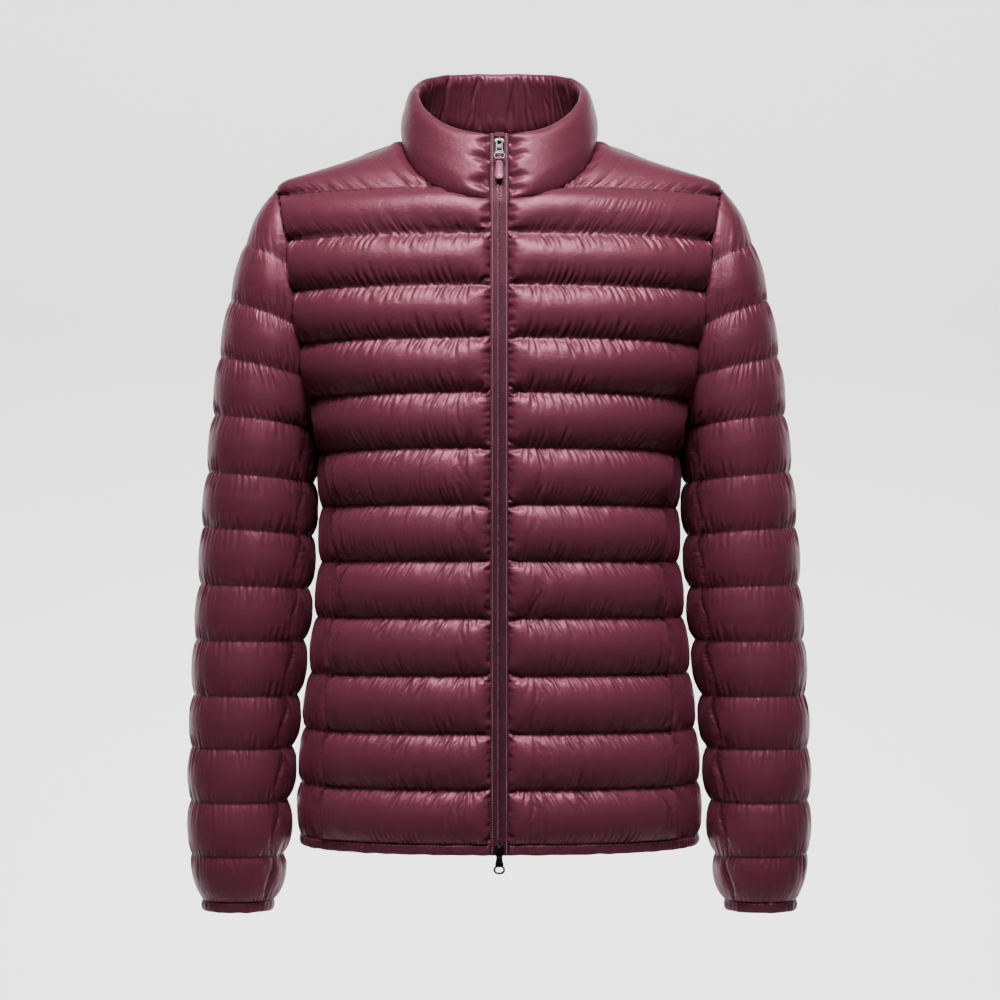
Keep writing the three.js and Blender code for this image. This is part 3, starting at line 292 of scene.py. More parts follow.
def channel_grid(channel, u, v):
    """Ruled surface between top and bottom, plus the edges' own shifts, which fade across it."""
    top, bottom, start, end = channel
    high, low = top(u), bottom(u)
    ruled = high[None] + (low - high)[None] * v[:, None, None]
    first = start(v) - ruled[:, 0]
    last = end(v) - ruled[:, -1]
    return ruled + first[:, None] * (1 - u)[None, :, None] + last[:, None] * u[None, :, None]


def even_shares(seam, steps):
    """Shares of a seam that lie an even distance apart along it."""
    fine = np.linspace(0, 1, 2001)
    walked = np.concatenate([[0], np.cumsum(length(np.diff(seam(fine), axis=0)))])
    shares = np.interp(np.linspace(0, walked[-1], steps + 1), walked, fine)
    shares[0], shares[-1] = 0.0, 1.0
    return shares


def panel_grid(channels, u):
    """All channels of a panel under each other. Also gives each row's share of its channel."""
    v = np.linspace(0, 1, CHANNEL_ROWS + 1)
    grids = [channel_grid(channel, u, v)[0 if i == 0 else 1:] for i, channel in enumerate(channels)]
    share = np.concatenate([v] + [v[1:]] * (len(channels) - 1))
    return np.concatenate(grids), share


def front_channels():
    """Channels of the left front, from the shoulder to the hem."""
    turn = LEVEL_Z[0]
    inner = {turn: float(neck_loop(NECK, YOKE_ANGLE)[0])}

    def seam(z):
        start, end = inner.get(z, ZIP_HALF + SEAM), edge_x(z) - SEAM
        return lambda u: front_point(mix(start, end, u), z)

    def edge(z):
        return front_point(edge_x(z) - SEAM, z)

    def yoke_top(u):
        return shoulder_seam(u) + points(-SEAM * (u > 0.999), -SEAM, 0)

    def yoke_start(v):
        return neck_loop(NECK, mix(math.pi / 2, YOKE_ANGLE, v)) + points(0, -SEAM * (1 - v), -SEAM)

    def yoke_end(v):
        z = mix(SHOULDER_POINT[2], turn, v)
        return points(at(ARMHOLE_X, "x", z) - SEAM, -np.maximum(SEAM, armhole_depth(z)), z)

    def neck_start(v):
        on_neck = neck_loop(NECK, mix(YOKE_ANGLE, CENTRE_ANGLE, np.minimum(1, v / NECK_CORNER)))
        on_neck = on_neck + (0, 0, -SEAM)
        down = np.clip((v - NECK_CORNER) / (1 - NECK_CORNER), 0, 1)[:, None]
        return mix(on_neck, front_point(ZIP_HALF + SEAM, LEVEL_Z[1]), down)

    channels = [
        (yoke_top, seam(turn), yoke_start, yoke_end),
        (seam(turn), seam(LEVEL_Z[1]), neck_start, lambda v: edge(mix(turn, LEVEL_Z[1], v))),
    ]
    for i in range(1, len(LEVEL_Z) - 1):
        high, low = LEVEL_Z[i], LEVEL_Z[i + 1] + (SEAM if i == len(LEVEL_Z) - 2 else 0)
        top, bottom = seam(high), seam(low)
        ends = straight_ends(top, bottom)
        if high > ARMPIT_LEVEL:
            ends = (ends[0], lambda v, a=high, b=low: edge(mix(a, b, v)))
        channels.append((top, bottom, *ends))
    return channels


def straight_ends(top, bottom):
    """Straight left and right edges of a channel between its two seams."""
    def at_share(u):
        one, two = top(np.array([u]))[0], bottom(np.array([u]))[0]
        return lambda v: mix(one, two, v[:, None])
    return at_share(0.0), at_share(1.0)


def back_channels():
    """Channels of the back, from the neck to the hem."""
    neck_share = SHOULDER_NECK[0] / SHOULDER_POINT[0]

    def top(u):
        place = 2 * u - 1
        side = np.where(place < 0, -1.0, 1.0)
        share = np.abs(place)
        seam = shoulder_seam(np.clip((share - neck_share) / (1 - neck_share), 0, 1))
        seam = points(side * (seam[:, 0] - SEAM * (share > 0.999)), SEAM, seam[:, 2])
        inward = np.minimum(1, share / neck_share)
        neck = neck_loop(NECK, math.pi - math.pi / 2 * inward, side) + points(0, SEAM * inward, -SEAM)
        return np.where((share >= neck_share)[:, None], seam, neck)

    def yoke_seam(u):
        x = (2 * u - 1) * (SHOULDER_POINT[0] - SEAM)
        share = (np.abs(x) - SHOULDER_NECK[0]) / (SHOULDER_POINT[0] - SHOULDER_NECK[0])
        roof = np.where(share > 0, shoulder_seam(share)[:, 2] - BACK_YOKE["drop"], BACK_YOKE["z"])
        z = np.minimum(BACK_YOKE["z"], roof)
        low, high = back_point(x, LEVEL_Z[0]), top(u)
        down = (high[:, 2] - z) / (high[:, 2] - low[:, 2])
        return points(x, mix(high[:, 1], low[:, 1], np.sqrt(np.maximum(0, down))), z)

    def seam(z):
        outer = edge_x(z) - SEAM
        return lambda u: back_point((2 * u - 1) * outer, z)

    first = seam(LEVEL_Z[0])
    channels = [(top, yoke_seam, *straight_ends(top, yoke_seam))]
    channels.append((yoke_seam, first, *straight_ends(yoke_seam, first)))
    for i in range(len(LEVEL_Z) - 1):
        high, low = LEVEL_Z[i], LEVEL_Z[i + 1] + (SEAM if i == len(LEVEL_Z) - 2 else 0)
        one, two = seam(high), seam(low)
        ends = straight_ends(one, two)
        if high > ARMPIT_LEVEL:
            ends = tuple(
                lambda v, a=high, b=low, side=side: back_point(
                    side * (edge_x(mix(a, b, v)) - SEAM), mix(a, b, v))
                for side in (-1, 1))
        channels.append((one, two, *ends))
    return channels


def side_channels():
    """Channels of the left side panel, from the armhole's bottom to the hem."""
    junction = math.acos((ARMPIT_LEVEL - ARMHOLE["centre"]) / ARMHOLE["half"]) + 0.014
    first = int(np.argmax(LEVELS["width"] > 0))

    def bottom_of_armhole(u):
        return armhole_point(mix(junction, 2 * math.pi - junction, u)) + (-SEAM, 0, 0)

    def seam(z):
        power, width = at(LEVELS, "power", z), at(LEVELS, "width", z)
        start = math.asin(((edge_x(z) - SIDE_LAP) / width) ** (power / 2))

        def line(u):
            angle = mix(start, math.pi - start, u)
            reach = np.abs(np.cos(angle)) ** (2 / power)
            y = np.where(np.cos(angle) > 0, -at(LEVELS, "front", z), at(LEVELS, "back", z)) * reach
            return points(width * np.sin(angle) ** (2 / power), y, z)
        return line

    heights = list(LEVEL_Z[first:-1]) + [LEVEL_Z[-1] + SEAM]
    seams = [bottom_of_armhole] + [seam(z) for z in heights]
    return [(a, b, *straight_ends(a, b)) for a, b in zip(seams, seams[1:])]


def sleeve_ring(place):
    """Sizes of the line round a sleeve at each place between two of its seams."""
    seams = np.arange(len(SLEEVE["outX"]))
    part = {key: np.interp(place, seams, SLEEVE[key]) for key in SLEEVE}
    edge = armhole_point(np.radians(part["angle"]))
    half = np.abs(edge[:, 1])
    first_half = ARMHOLE["depth"] * math.sin(math.radians(SLEEVE["angle"][1]))
    depth = np.where(place < 1, half * SLEEVE["depth"][1] / first_half, part["depth"])
    share = np.where(depth > 1e-6, half / np.maximum(depth, 1e-6), first_half / SLEEVE["depth"][1])
    tight = np.sqrt(np.maximum(0, 1 - share * share))
    cut = place < SLEEVE_TUBE
    bent = mix(SLEEVE["inX"][4], SLEEVE["inX"][5], np.clip(place - 4, 0, 1) ** ARMPIT_BEND)
    in_x = np.where(cut, edge[:, 0], np.where(place < SLEEVE_TUBE + 1, bent, part["inX"]))
    in_z = np.where(cut, edge[:, 2], part["inZ"])
    centre = np.where(cut, (edge[:, 0] + tight * part["outX"]) / (1 + tight), (in_x + part["outX"]) / 2)
    start = np.where(cut, np.arccos(np.minimum(1, tight)), 0)
    fore = np.where(cut, 0, part["fore"])
    return {"centre": centre, "start": start, "depth": depth, "fore": fore, "inX": in_x, "inZ": in_z,
            "outX": part["outX"], "outZ": part["outZ"]}


def sleeve_grid(place, u):
    """Ovals round the sleeve: x and y by cosine and sine of an angle, z from the inner to the outer side."""
    ring = {key: value[:, None] for key, value in sleeve_ring(place).items()}
    angle = mix(ring["start"], 2 * math.pi - ring["start"], u[None])
    x = ring["centre"] - (ring["outX"] - ring["centre"]) * np.cos(angle)
    span = np.maximum(0.01, ring["outX"] - ring["inX"])
    z = mix(ring["inZ"], ring["outZ"], (x - ring["inX"]) / span)
    shift = np.where(place < SLEEVE_TUBE, SLEEVE_GAP, 0)[:, None]
    return points(x + shift, ring["fore"] - ring["depth"] * np.sin(angle), z)


# Directions out of the cloth


def armhole_normal(p):
    """Straight out of the armhole's oval, along the surface that its edge lies in."""
    y = p[..., 1] / ARMHOLE["depth"] ** 2
    z = (p[..., 2] - ARMHOLE["centre"]) / ARMHOLE["half"] ** 2
    lean = (at(ARMHOLE_X, "x", p[..., 2] + 1) - at(ARMHOLE_X, "x", p[..., 2] - 1)) / 2
    return unit(points(lean * z, y, z))


def neckline_normal(p):
    """Between the body's and the collar's directions at the neckline."""
    flat = unit(points(p[..., 0] / NECK["width"], p[..., 1] / NECK["front"], 0))
    lift = 0.35 + 0.5 * np.abs(p[..., 0]) / NECK["width"]
    return unit(flat + points(0, 0, lift))


def flat_in(normal, axis):
    """A direction with one of its coordinates taken out."""
    flat = normal.copy()
    flat[..., axis] = 0
    return unit(flat)


def grid_normals(grid, inside):
    """Outward directions of a grid, from the cross product of its two slopes, softened along the rows."""
    normal = np.cross(np.gradient(grid, axis=0), np.gradient(grid, axis=1))
    normal = unit(normal)
    if np.median((normal * (grid - inside)).sum(axis=-1)) < 0:
        normal = -normal
    for step in (2, 4, 6):
        up = np.concatenate([normal[step:], np.repeat(normal[-1:], step, axis=0)])
        down = np.concatenate([np.repeat(normal[:1], step, axis=0), normal[:-step]])
        normal = unit(2 * normal + up + down)
    return normal


def turn_to(normal, target, distance, reach=7.0):
    """Turns directions towards the ones at a sewn edge, less and less with the distance from it."""
    share = np.exp(-((distance / reach) ** 2))[..., None]
    return unit(mix(normal, target, share))


# Swelling of the padded cloth


def pull(cloth, moves, rest, rows, cols, long, short):
    """Moves the two ends of each thread towards the distance of its rest length."""
    m, n = cloth.shape[1:]
    a = cloth[:, : m - rows, : n - cols] if cols >= 0 else cloth[:, : m - rows, -cols:]
    b = cloth[:, rows:, cols:] if cols >= 0 else cloth[:, rows:, :cols]
    gap = b - a
    size = np.sqrt((gap * gap).sum(axis=0))
    off = (size - rest) / np.maximum(size, 1e-4)
    off *= np.where(off > 0, np.float32(long / 2), np.float32(short / 2))
    gap *= off
    if cols >= 0:
        moves[:, : m - rows, : n - cols] += gap
        moves[:, rows:, cols:] -= gap
    else:
        moves[:, : m - rows, -cols:] += gap
        moves[:, rows:, :cols] -= gap


def slants(seat, across, down):
    """Rest lengths of both diagonals: those of the seat, grown by what its sides have grown."""
    wide, tall = length(np.diff(seat, axis=1)), length(np.diff(seat, axis=0))
    grown = (across**2 - wide**2)[1:] / 2 + (across**2 - wide**2)[:-1] / 2
    grown = grown + (down**2 - tall**2)[:, 1:] / 2 + (down**2 - tall**2)[:, :-1] / 2
    falling, rising = length(seat[1:, 1:] - seat[:-1, :-1]), length(seat[1:, :-1] - seat[:-1, 1:])
    return [np.sqrt(np.maximum(0.3 * d**2, d**2 + grown)).astype(np.float32) for d in (falling, rising)]


def swell(start, base, seat, up, held, across, down, tube_row=None, cap=11.5, lift=0.0015, steps=None,
          stiff=0.03, least=1.0):
    """Blows up padded cloth that its seams hold.

    The cloth is a grid of threads along and across the channels. Each thread wants its cut length,
    which is longer than its seat along the seams, so that it has to buckle into gathers. Threads on
    the slant keep the seat's angles, so that a leaning grid doesn't shear. Every step
    the air pushes each point outwards, the threads pull it back, and stiffness against sharp folds
    evens it out. Points stay above the inner cloth and under a cap.
    """
    steps = steps or SWELL_STEPS
    cloth = np.ascontiguousarray(np.moveaxis(start, -1, 0), np.float32)
    floor = np.ascontiguousarray(np.moveaxis(base, -1, 0), np.float32)
    out = np.ascontiguousarray(np.moveaxis(up, -1, 0), np.float32)
    free = (~held).astype(np.float32)
    falling, rising = slants(seat, across, down)
    across, down = across.astype(np.float32), down.astype(np.float32)
    bend_u = across[:, 1:] + across[:, :-1]
    bend_v = down[1:] + down[:-1]
    speed = np.zeros_like(cloth)
    for step in range(steps):
        moves = np.zeros_like(cloth)
        pull(cloth, moves, across, 0, 1, 0.9, 0.8)
        pull(cloth, moves, down, 1, 0, 0.9, 0.8)
        pull(cloth, moves, falling, 1, 1, 0.25, 0.12)
        pull(cloth, moves, rising, 1, -1, 0.25, 0.12)
        pull(cloth, moves, bend_u, 0, 2, 0.0, stiff)
        pull(cloth, moves, bend_v, 2, 0, 0.0, stiff)
        if step % 4 == 0:
            slope = np.cross(np.gradient(cloth, axis=1), np.gradient(cloth, axis=2), axis=0)
            slope /= np.maximum(np.sqrt((slope * slope).sum(axis=0)), 1e-6)
            if (slope * out).sum() < 0:
                slope = -slope
        if tube_row is not None:
            joined = moves[:, tube_row:, 0] + moves[:, tube_row:, -1]
            moves[:, tube_row:, 0] = joined
            moves[:, tube_row:, -1] = joined
            slope[:, tube_row:, 0] = slope[:, tube_row:, -1]
        speed = (speed * 0.86 + moves * 0.62 + slope * lift * (1 - 0.3 * step / steps)) * free
        fast = np.sqrt((speed * speed).sum(axis=0))
        speed *= np.minimum(1, 1.2 / np.maximum(fast, 1e-6))
        cloth += speed
        height = ((cloth - floor) * out).sum(axis=0)
        cloth += out * (np.clip(height, least, cap) - height) * free
    return np.moveaxis(cloth, 0, -1).astype(float)


# Meshes


def mesh_object(name, vertices, triangles, uv=None, marks=None, sharp=None):
    """A closed mesh, welded where points meet and turned to face out, with its own cloth coordinates."""
    keys = np.round(vertices * 5e3).astype(np.int64)
    _, kept, index = np.unique(keys, axis=0, return_index=True, return_inverse=True)
    index = index.reshape(-1)
    faces = index[triangles]
    whole = (faces[:, 0] != faces[:, 1]) & (faces[:, 1] != faces[:, 2]) & (faces[:, 2] != faces[:, 0])
    faces, corners = faces[whole], triangles[whole]
    spots = vertices[kept]
    a, b, c = spots[faces[:, 0]], spots[faces[:, 1]], spots[faces[:, 2]]
    if (a * np.cross(b, c)).sum() < 0:
        faces, corners = faces[:, ::-1], corners[:, ::-1]
    mesh = bpy.data.meshes.new(name)
    mesh.vertices.add(len(spots))
    mesh.vertices.foreach_set("co", (spots * MM).ravel())
    mesh.loops.add(faces.size)
    mesh.loops.foreach_set("vertex_index", np.ascontiguousarray(faces).ravel())
    mesh.polygons.add(len(faces))
    mesh.polygons.foreach_set("loop_start", np.arange(len(faces)) * 3)
    mesh.polygons.foreach_set("use_smooth", np.ones(len(faces), bool))
    mesh.update(calc_edges=True)
    if uv is not None:
        layer = mesh.uv_layers.new(name="cloth")
        layer.data.foreach_set("uv", (uv[corners.ravel()] * MM).ravel())
    for key, values in (marks or {}).items():
        attribute = mesh.attributes.new(key, "FLOAT", "POINT")
        attribute.data.foreach_set("value", values[kept].astype(np.float32))
    if sharp is not None:
        mesh.set_sharp_from_angle(angle=math.radians(sharp))
    if mesh.validate():
        raise RuntimeError(f"{name}: the mesh had to be mended")
    obj = bpy.data.objects.new(name, mesh)
    bpy.context.scene.collection.objects.link(obj)
    return obj


def grid_triangles(ids):
    """Two triangles for each cell of a grid of point numbers."""
    a, b, c, d = ids[:-1, :-1], ids[1:, :-1], ids[1:, 1:], ids[:-1, 1:]
    return np.concatenate([np.stack([a, b, c], -1).reshape(-1, 3), np.stack([a, c, d], -1).reshape(-1, 3)])


def border_triangles(outer, inner):
    """Fans between an outer border and an inner one that has every PICK-th of its points."""
    cells = outer[:-1].reshape(-1, PICK)
    nexts = outer[1:].reshape(-1, PICK)
    first, second = inner[:-1], inner[1:]
    half = PICK // 2
    fans = [np.stack([cells[:, q], nexts[:, q], first if q < half else second], -1) for q in range(PICK)]
    fans.append(np.stack([cells[:, half], second, first], -1))
    return np.concatenate(fans)


def wall_object(name, outer, inner, marks=None, tube_row=None):
    """A wall between a fine outer grid and every PICK-th point of an inner one.

    From tube_row on, the first and last columns are one line, and the wall closes on itself.
    """
    m, n = outer.shape[:2]
    ids = np.arange(m * n).reshape(m, n)
    picked = inner[::PICK, ::PICK]
    inner_ids = m * n + np.arange(picked.shape[0] * picked.shape[1]).reshape(picked.shape[:2])
    triangles = [grid_triangles(ids), grid_triangles(inner_ids)[:, ::-1]]
    triangles.append(border_triangles(ids[0], inner_ids[0]))
    triangles.append(border_triangles(ids[-1, ::-1], inner_ids[-1, ::-1]))
    open_rows = m - 1 if tube_row is None else tube_row
    last = open_rows // PICK
    triangles.append(border_triangles(ids[: open_rows + 1, -1], inner_ids[: last + 1, -1]))
    triangles.append(border_triangles(ids[open_rows::-1, 0], inner_ids[last::-1, 0]))
    vertices = np.concatenate([outer.reshape(-1, 3), picked.reshape(-1, 3)])
    across = np.cumsum(np.pad(length(np.diff(inner, axis=1)).mean(axis=0), (1, 0)))
    down = np.cumsum(np.pad(length(np.diff(inner, axis=0)).mean(axis=1), (1, 0)))
    cloth = np.stack(np.meshgrid(across, down), -1)
    uv = np.concatenate([cloth.reshape(-1, 2), cloth[::PICK, ::PICK].reshape(-1, 2)])
    both = {key: np.concatenate([v.ravel(), v[::PICK, ::PICK].ravel()]) for key, v in (marks or {}).items()}
    return mesh_object(name, vertices, np.concatenate(triangles), uv, both, sharp=70)


def wave_seams(outer, normal, seam_rows, seed):
    """Pulls the stitched lines a little in, out, up and down along their length, as gathers do."""
    for k, row in enumerate(seam_rows):
        walked = np.cumsum(np.pad(length(np.diff(outer[row], axis=0)), (1, 0)))
        fade = pinch(np.minimum(walked, walked[-1] - walked), 12)
        out = 0.15 * ripple(walked, 9, seed + 2 * k) * fade
        lift = 0.16 * ripple(walked, 14, seed + 2 * k + 1) * fade
        outer[row] += normal[row] * out[:, None] + points(0, 0, 1) * lift[:, None]


def slid(grid, shift):
    """A grid's rows read at places shifted along them by a number of columns."""
    place = np.clip(np.arange(grid.shape[1])[None] + shift, 0, grid.shape[1] - 1)
    low = np.minimum(place.astype(int), grid.shape[1] - 2)
    part = place - low
    if grid.ndim == 3:
        low, part = low[..., None], part[..., None]
    return mix(np.take_along_axis(grid, low, 1), np.take_along_axis(grid, low + 1, 1), part)


def quilted(name, base, share, normal, puff, seed, mirror=False, fullness=0.15, bow=0.7, drift=0.0,
            tube_row=None, slack=-0.03, edge_gather=0.1, seam_column=None, wave=6.2):
    """One padded panel: arched start, seeded unevenness, swelling, and the wall down to the lining.

    The cloth is fullest beside its seams, where it gathers, and smooth along the middle of a channel.
    The threads down a channel bow sideways by share (1 - share) of its height, or drift one way beside
    both of its seams, by the sine of a full turn, and the gathers follow them. On a tube, the first and
    last columns are one line that swells too, and the closing seam runs down seam_column instead.
    """
    m, n = base.shape[:2]
    sides = np.minimum(length(base - base[:, :1]), length(base - base[:, -1:]))
    step = np.gradient(np.cumsum(np.pad(length(np.diff(base, axis=1)), ((0, 0), (1, 0))), axis=1), axis=1)
    lane = bow * (share * (1 - share))[:, None] + drift * (np.sin(2 * np.pi * share) / (2 * np.pi))[:, None]
    lane = lane * LANE["height"] * np.clip(sides / LANE["fade"], 0, 1) / np.maximum(step, 0.3)
    if tube_row is not None:
        lane = lane * np.clip(np.minimum(np.arange(n), np.arange(n)[::-1]) / (0.12 * n), 0, 1)[None]
    base, normal = slid(base, lane), unit(slid(normal, lane))
    puff = slid(puff, lane)
    walked_u = np.cumsum(np.pad(length(np.diff(base, axis=1)), ((0, 0), (1, 0))), axis=1)
    walked_v = np.cumsum(np.pad(length(np.diff(base, axis=0)), ((1, 0), (0, 0))), axis=0)
    seam_rows = np.arange(0, m, CHANNEL_ROWS)
    tall = length(base[seam_rows[1:]] - base[seam_rows[:-1]])
    tall = np.concatenate([np.repeat(tall, CHANNEL_ROWS, axis=0), tall[-1:]])
    size = np.minimum(1, tall / FULL_CHANNEL)
    full = puff * arch(share)[:, None] * size
    near = np.minimum(share, 1 - share)[:, None] * tall
    edge = np.minimum(length(base - base[:, :1]), length(base - base[:, -1:]))
    if tube_row is not None:
        edge[tube_row:] = np.minimum(walked_u, walked_u[:, -1:] - walked_u)[tube_row:]
    beside = np.exp(-((edge / 15) ** 2))
    gathers = field(walked_u, walked_v, wave, 45, seed)
    puckers = field(walked_v, walked_u, 5.2, 45, seed + 1)
    below = share[:, None] * tall
    corner = np.exp(-((edge / 22) ** 2) - (below / 20) ** 2)
    round_corner = np.sqrt((edge + 4) ** 2 + (1.25 * below + 4) ** 2)
    round_corner = round_corner + 1.2 * field(walked_u, walked_v, 30, 30, seed + 4)
    crescents = np.sin(2 * np.pi * round_corner / 7.5)
    bumps = 0.35 * gathers * (1 - beside) + 0.34 * puckers * beside * (1 - corner) + 0.75 * crescents * corner
    full = full * (1 + 0.06 * ripple(walked_u + 9 * walked_v, 70, seed + 2))
    start = base + normal * (WALL + full + bumps * np.minimum(1, full / 2 + 0.3))[..., None]
    held = np.zeros((m, n), bool)
    held[seam_rows] = True
    held[:, 0] = held[:, -1] = True
    if seam_column is not None:
        held[tube_row + 1:, 0] = held[tube_row + 1:, -1] = False
        held[tube_row + CHANNEL_ROWS // 2:, seam_column] = True
    start[held] = (base + normal * WALL)[held]
    wave_seams(start, normal, seam_rows[1:-1], seed + 20)
    for column in (0, -1):
        uneven = 0.18 * ripple(walked_v[:, column], 7, seed + 9 + column)
        start[:, column] += normal[:, column] * uneven[:, None]
    if tube_row is not None:
        start[tube_row:, -1] = start[tube_row:, 0]
    spread = 0.06 + 0.94 * np.exp(-((near / GATHER_REACH) ** 2))
    excess = fullness * spread * (1 + 0.6 * field(walked_u, walked_v, 36, 70, seed + 3)) - 0.008
    excess = np.clip(excess, -0.01, 0.24)
    across = length(np.diff(base, axis=1)) * (1 + (excess[:, 1:] + excess[:, :-1]) / 2)
    across = np.maximum(across, 0.99 * length(np.diff(base + normal * (WALL + full)[..., None], axis=1)))
    unpinched = base + normal * (WALL + puff.max() * arch(share)[:, None] * size)[..., None]
    down = length(np.diff(unpinched, axis=0)) * (1 + slack)
    down *= 1 + edge_gather * np.exp(-edge / 12)[1:]
    seat = base + normal * (WALL + full)[..., None]
    outer = swell(start, base, seat, normal, held, across, down, tube_row)
    if tube_row is not None:
        outer[tube_row:, -1] = outer[tube_row:, 0]
    if seam_column is not None:
        beyond = np.abs(walked_u - walked_u[:, seam_column: seam_column + 1])
        beyond = np.where((np.arange(m) >= tube_row + CHANNEL_ROWS // 2)[:, None], beyond, 99)
        near, edge = np.minimum(near, beyond), np.minimum(edge, beyond)
    # seam: distance to the nearest seam, which sets the painted shade along the stitched lines and the folds
    # beside them; edge: distance to the panel's edges
    marks = {"seam": near, "edge": edge}
    side = np.array((-1, 1, 1)) if mirror else np.array((1, 1, 1))
    obj = wall_object(name, outer * side, base * side, marks, tube_row)
    return obj, outer * side, seam_rows


# Bindings, tapes and hard pieces


def lofted(rings, around=False):
    """Closed surface through rings of points: faces between rings, and a ladder across each open end."""
    count = rings.shape[1]
    rings = np.concatenate([rings, rings[:, :1]], axis=1)
    if around:
        rings = np.concatenate([rings, rings[:1]])
    n, k = rings.shape[:2]
    faces = [grid_triangles(np.arange(n * k).reshape(n, k))]
    if not around:
        step = np.arange(count // 2 - 1)
        quad = np.stack([step, step + 1, count - 2 - step, count - 1 - step], -1)
        cap = np.concatenate([quad[:, [0, 1, 2]], quad[:, [0, 2, 3]]])
        faces += [cap, (n - 1) * k + cap[:, ::-1]]
    along = np.cumsum(np.pad(length(np.diff(rings, axis=0)).mean(axis=1), (1, 0)))
    across = np.cumsum(np.pad(length(np.diff(rings, axis=1)).mean(axis=0), (1, 0)))
    uv = np.stack(np.meshgrid(along, across, indexing="ij"), -1)
    return rings.reshape(-1, 3), np.concatenate(faces), uv.reshape(-1, 2)


def joined(*parts):
    """One mesh from several closed ones, each turned to face out."""
    spots, faces, uvs, first = [], [], [], 0
    for place, triangles, uv in parts:
        a, b, c = (place[triangles[:, i]] - place.mean(axis=0) for i in range(3))
        spots.append(place)
        faces.append((triangles if (a * np.cross(b, c)).sum() > 0 else triangles[:, ::-1]) + first)
        uvs.append(uv)
        first += len(place)
    return np.concatenate(spots), np.concatenate(faces), np.concatenate(uvs)


def beads(places, along, up, half_long, half_wide, half_high, sides=5):
    """Long beads at places: rings of 0.62, 1 and 0.62 of the width, closed at two points."""
    turn = 2 * np.pi * np.arange(sides) / sides
    rings = [points(t, r * np.cos(turn), r * np.sin(turn)) for t, r in ((-0.72, 0.66), (0, 1), (0.72, 0.66))]
    bead = np.concatenate([[(-1, 0, 0)], *rings, [(1, 0, 0)]])
    here, after = np.arange(sides), (np.arange(sides) + 1) % sides
    faces = [np.stack([0 * here, 1 + here, 1 + after], -1)]
    for ring in (1, 1 + sides):
        faces.append(np.stack([ring + here, ring + sides + here, ring + sides + after], -1))
        faces.append(np.stack([ring + here, ring + sides + after, ring + after], -1))
    last = 1 + 2 * sides
    faces.append(np.stack([last + here, 0 * here + len(bead) - 1, last + after], -1))
    faces = np.concatenate(faces)
    across = unit(np.cross(up, along))
    up = np.cross(along, across)
    spots = places[:, None] + along[:, None] * (bead[None, :, :1] * half_long)
    spots = spots + across[:, None] * (bead[None, :, 1:2] * half_wide)
    spots = spots + up[:, None] * (bead[None, :, 2:] * half_high)
    index = np.arange(len(places))[:, None, None] * len(bead) + faces[None]
    uv = np.stack([spots[..., 0], spots[..., 2]], -1)
    return spots.reshape(-1, 3), index.reshape(-1, 3), uv.reshape(-1, 2)


def spaced(line, pitch, *others):
    """Points an even distance apart along a line, with its direction there and other values beside it."""
    walked = np.cumsum(np.pad(length(np.diff(line, axis=0)), (1, 0)))
    stops = np.arange(pitch / 2, walked[-1], pitch)

    def read(values, shift=0.0):
        return np.stack([np.interp(stops + shift, walked, values[:, i]) for i in range(3)], -1)

    pick = [read(values) for values in (line, *others)]
    ahead = [read(line, shift) for shift in (-0.5, 0.5)]
    return pick[0], unit(ahead[1] - ahead[0]), *(unit(values) for values in pick[1:])


def stitch_row(line, up, pitch=2.3, half_long=0.8, half_wide=0.36, half_high=0.28):
    """A row of stitches along a line, sunk a little into the cloth."""
    places, along, up = spaced(line, pitch, up)
    return beads(places, along, up, half_long, half_wide, half_high)


def band_rings(top, normal, height, thick, wave, seed, round_points=12):
    """Rings of a narrow folded binding: a rounded strip that its elastic draws into ripples."""
    turn = 2 * np.pi * np.arange(round_points) / round_points
    down = 0.5 - 0.5 * np.sign(np.cos(turn)) * np.abs(np.cos(turn)) ** 0.6
    out = 0.5 + 0.5 * np.sign(np.sin(turn)) * np.abs(np.sin(turn)) ** 0.75
    walked = np.cumsum(np.pad(length(np.diff(top, axis=0)), (1, 0)))
    draw = 0.28 * ripple(walked, wave, seed) + 0.16 * ripple(walked, wave * 0.45, seed + 1)
    lift = 0.25 * ripple(walked, 3 * wave, seed + 2)
    swell_out = thick * out[None] + draw[:, None] * (out * np.sin(np.pi * np.clip(down, 0.05, 0.95)))[None]
    return (top[:, None] - (0, 0, 1) * (height * down + 0 * walked[:, None])[..., None]
            + (0, 0, 1) * lift[:, None, None] * 0.6 + normal[:, None] * swell_out[..., None])


def smooth_loop(corners, cuts=3):
    """A closed outline with its corners cut again and again, each time at a quarter of both sides."""
    loop = np.array(corners, float)
    for _ in range(cuts):
        after = np.roll(loop, -1, axis=0)
        cut = np.stack([0.75 * loop + 0.25 * after, 0.25 * loop + 0.75 * after], 1)
        loop = cut.reshape(-1, loop.shape[1])
    return loop


def both_sides(corners):
    """A half outline and its mirror image."""
    right = np.array(corners, float)
    return np.concatenate([right, right[::-1] * (-1, 1)])


def plate(outline, low, high, edge=0.35, dish=0.0):
    """A plate inside an outline of x and z, with rounded edges; the outer face is dished or domed."""
    middle = outline.mean(axis=0)
    rings = [(0, low), (0.6, low), (0.93, low), (1, low + edge), (1, high - edge), (0.985, high - 0.3 * edge),
             (0.93, high), (0.84, high), (0.76, high - dish), (0.4, high - dish), (0, high - dish)]
    flat = [middle + (outline - middle) * share for share, _ in rings]
    return lofted(np.stack([points(f[:, 0], -out, f[:, 1]) for f, (_, out) in zip(flat, rings)]))


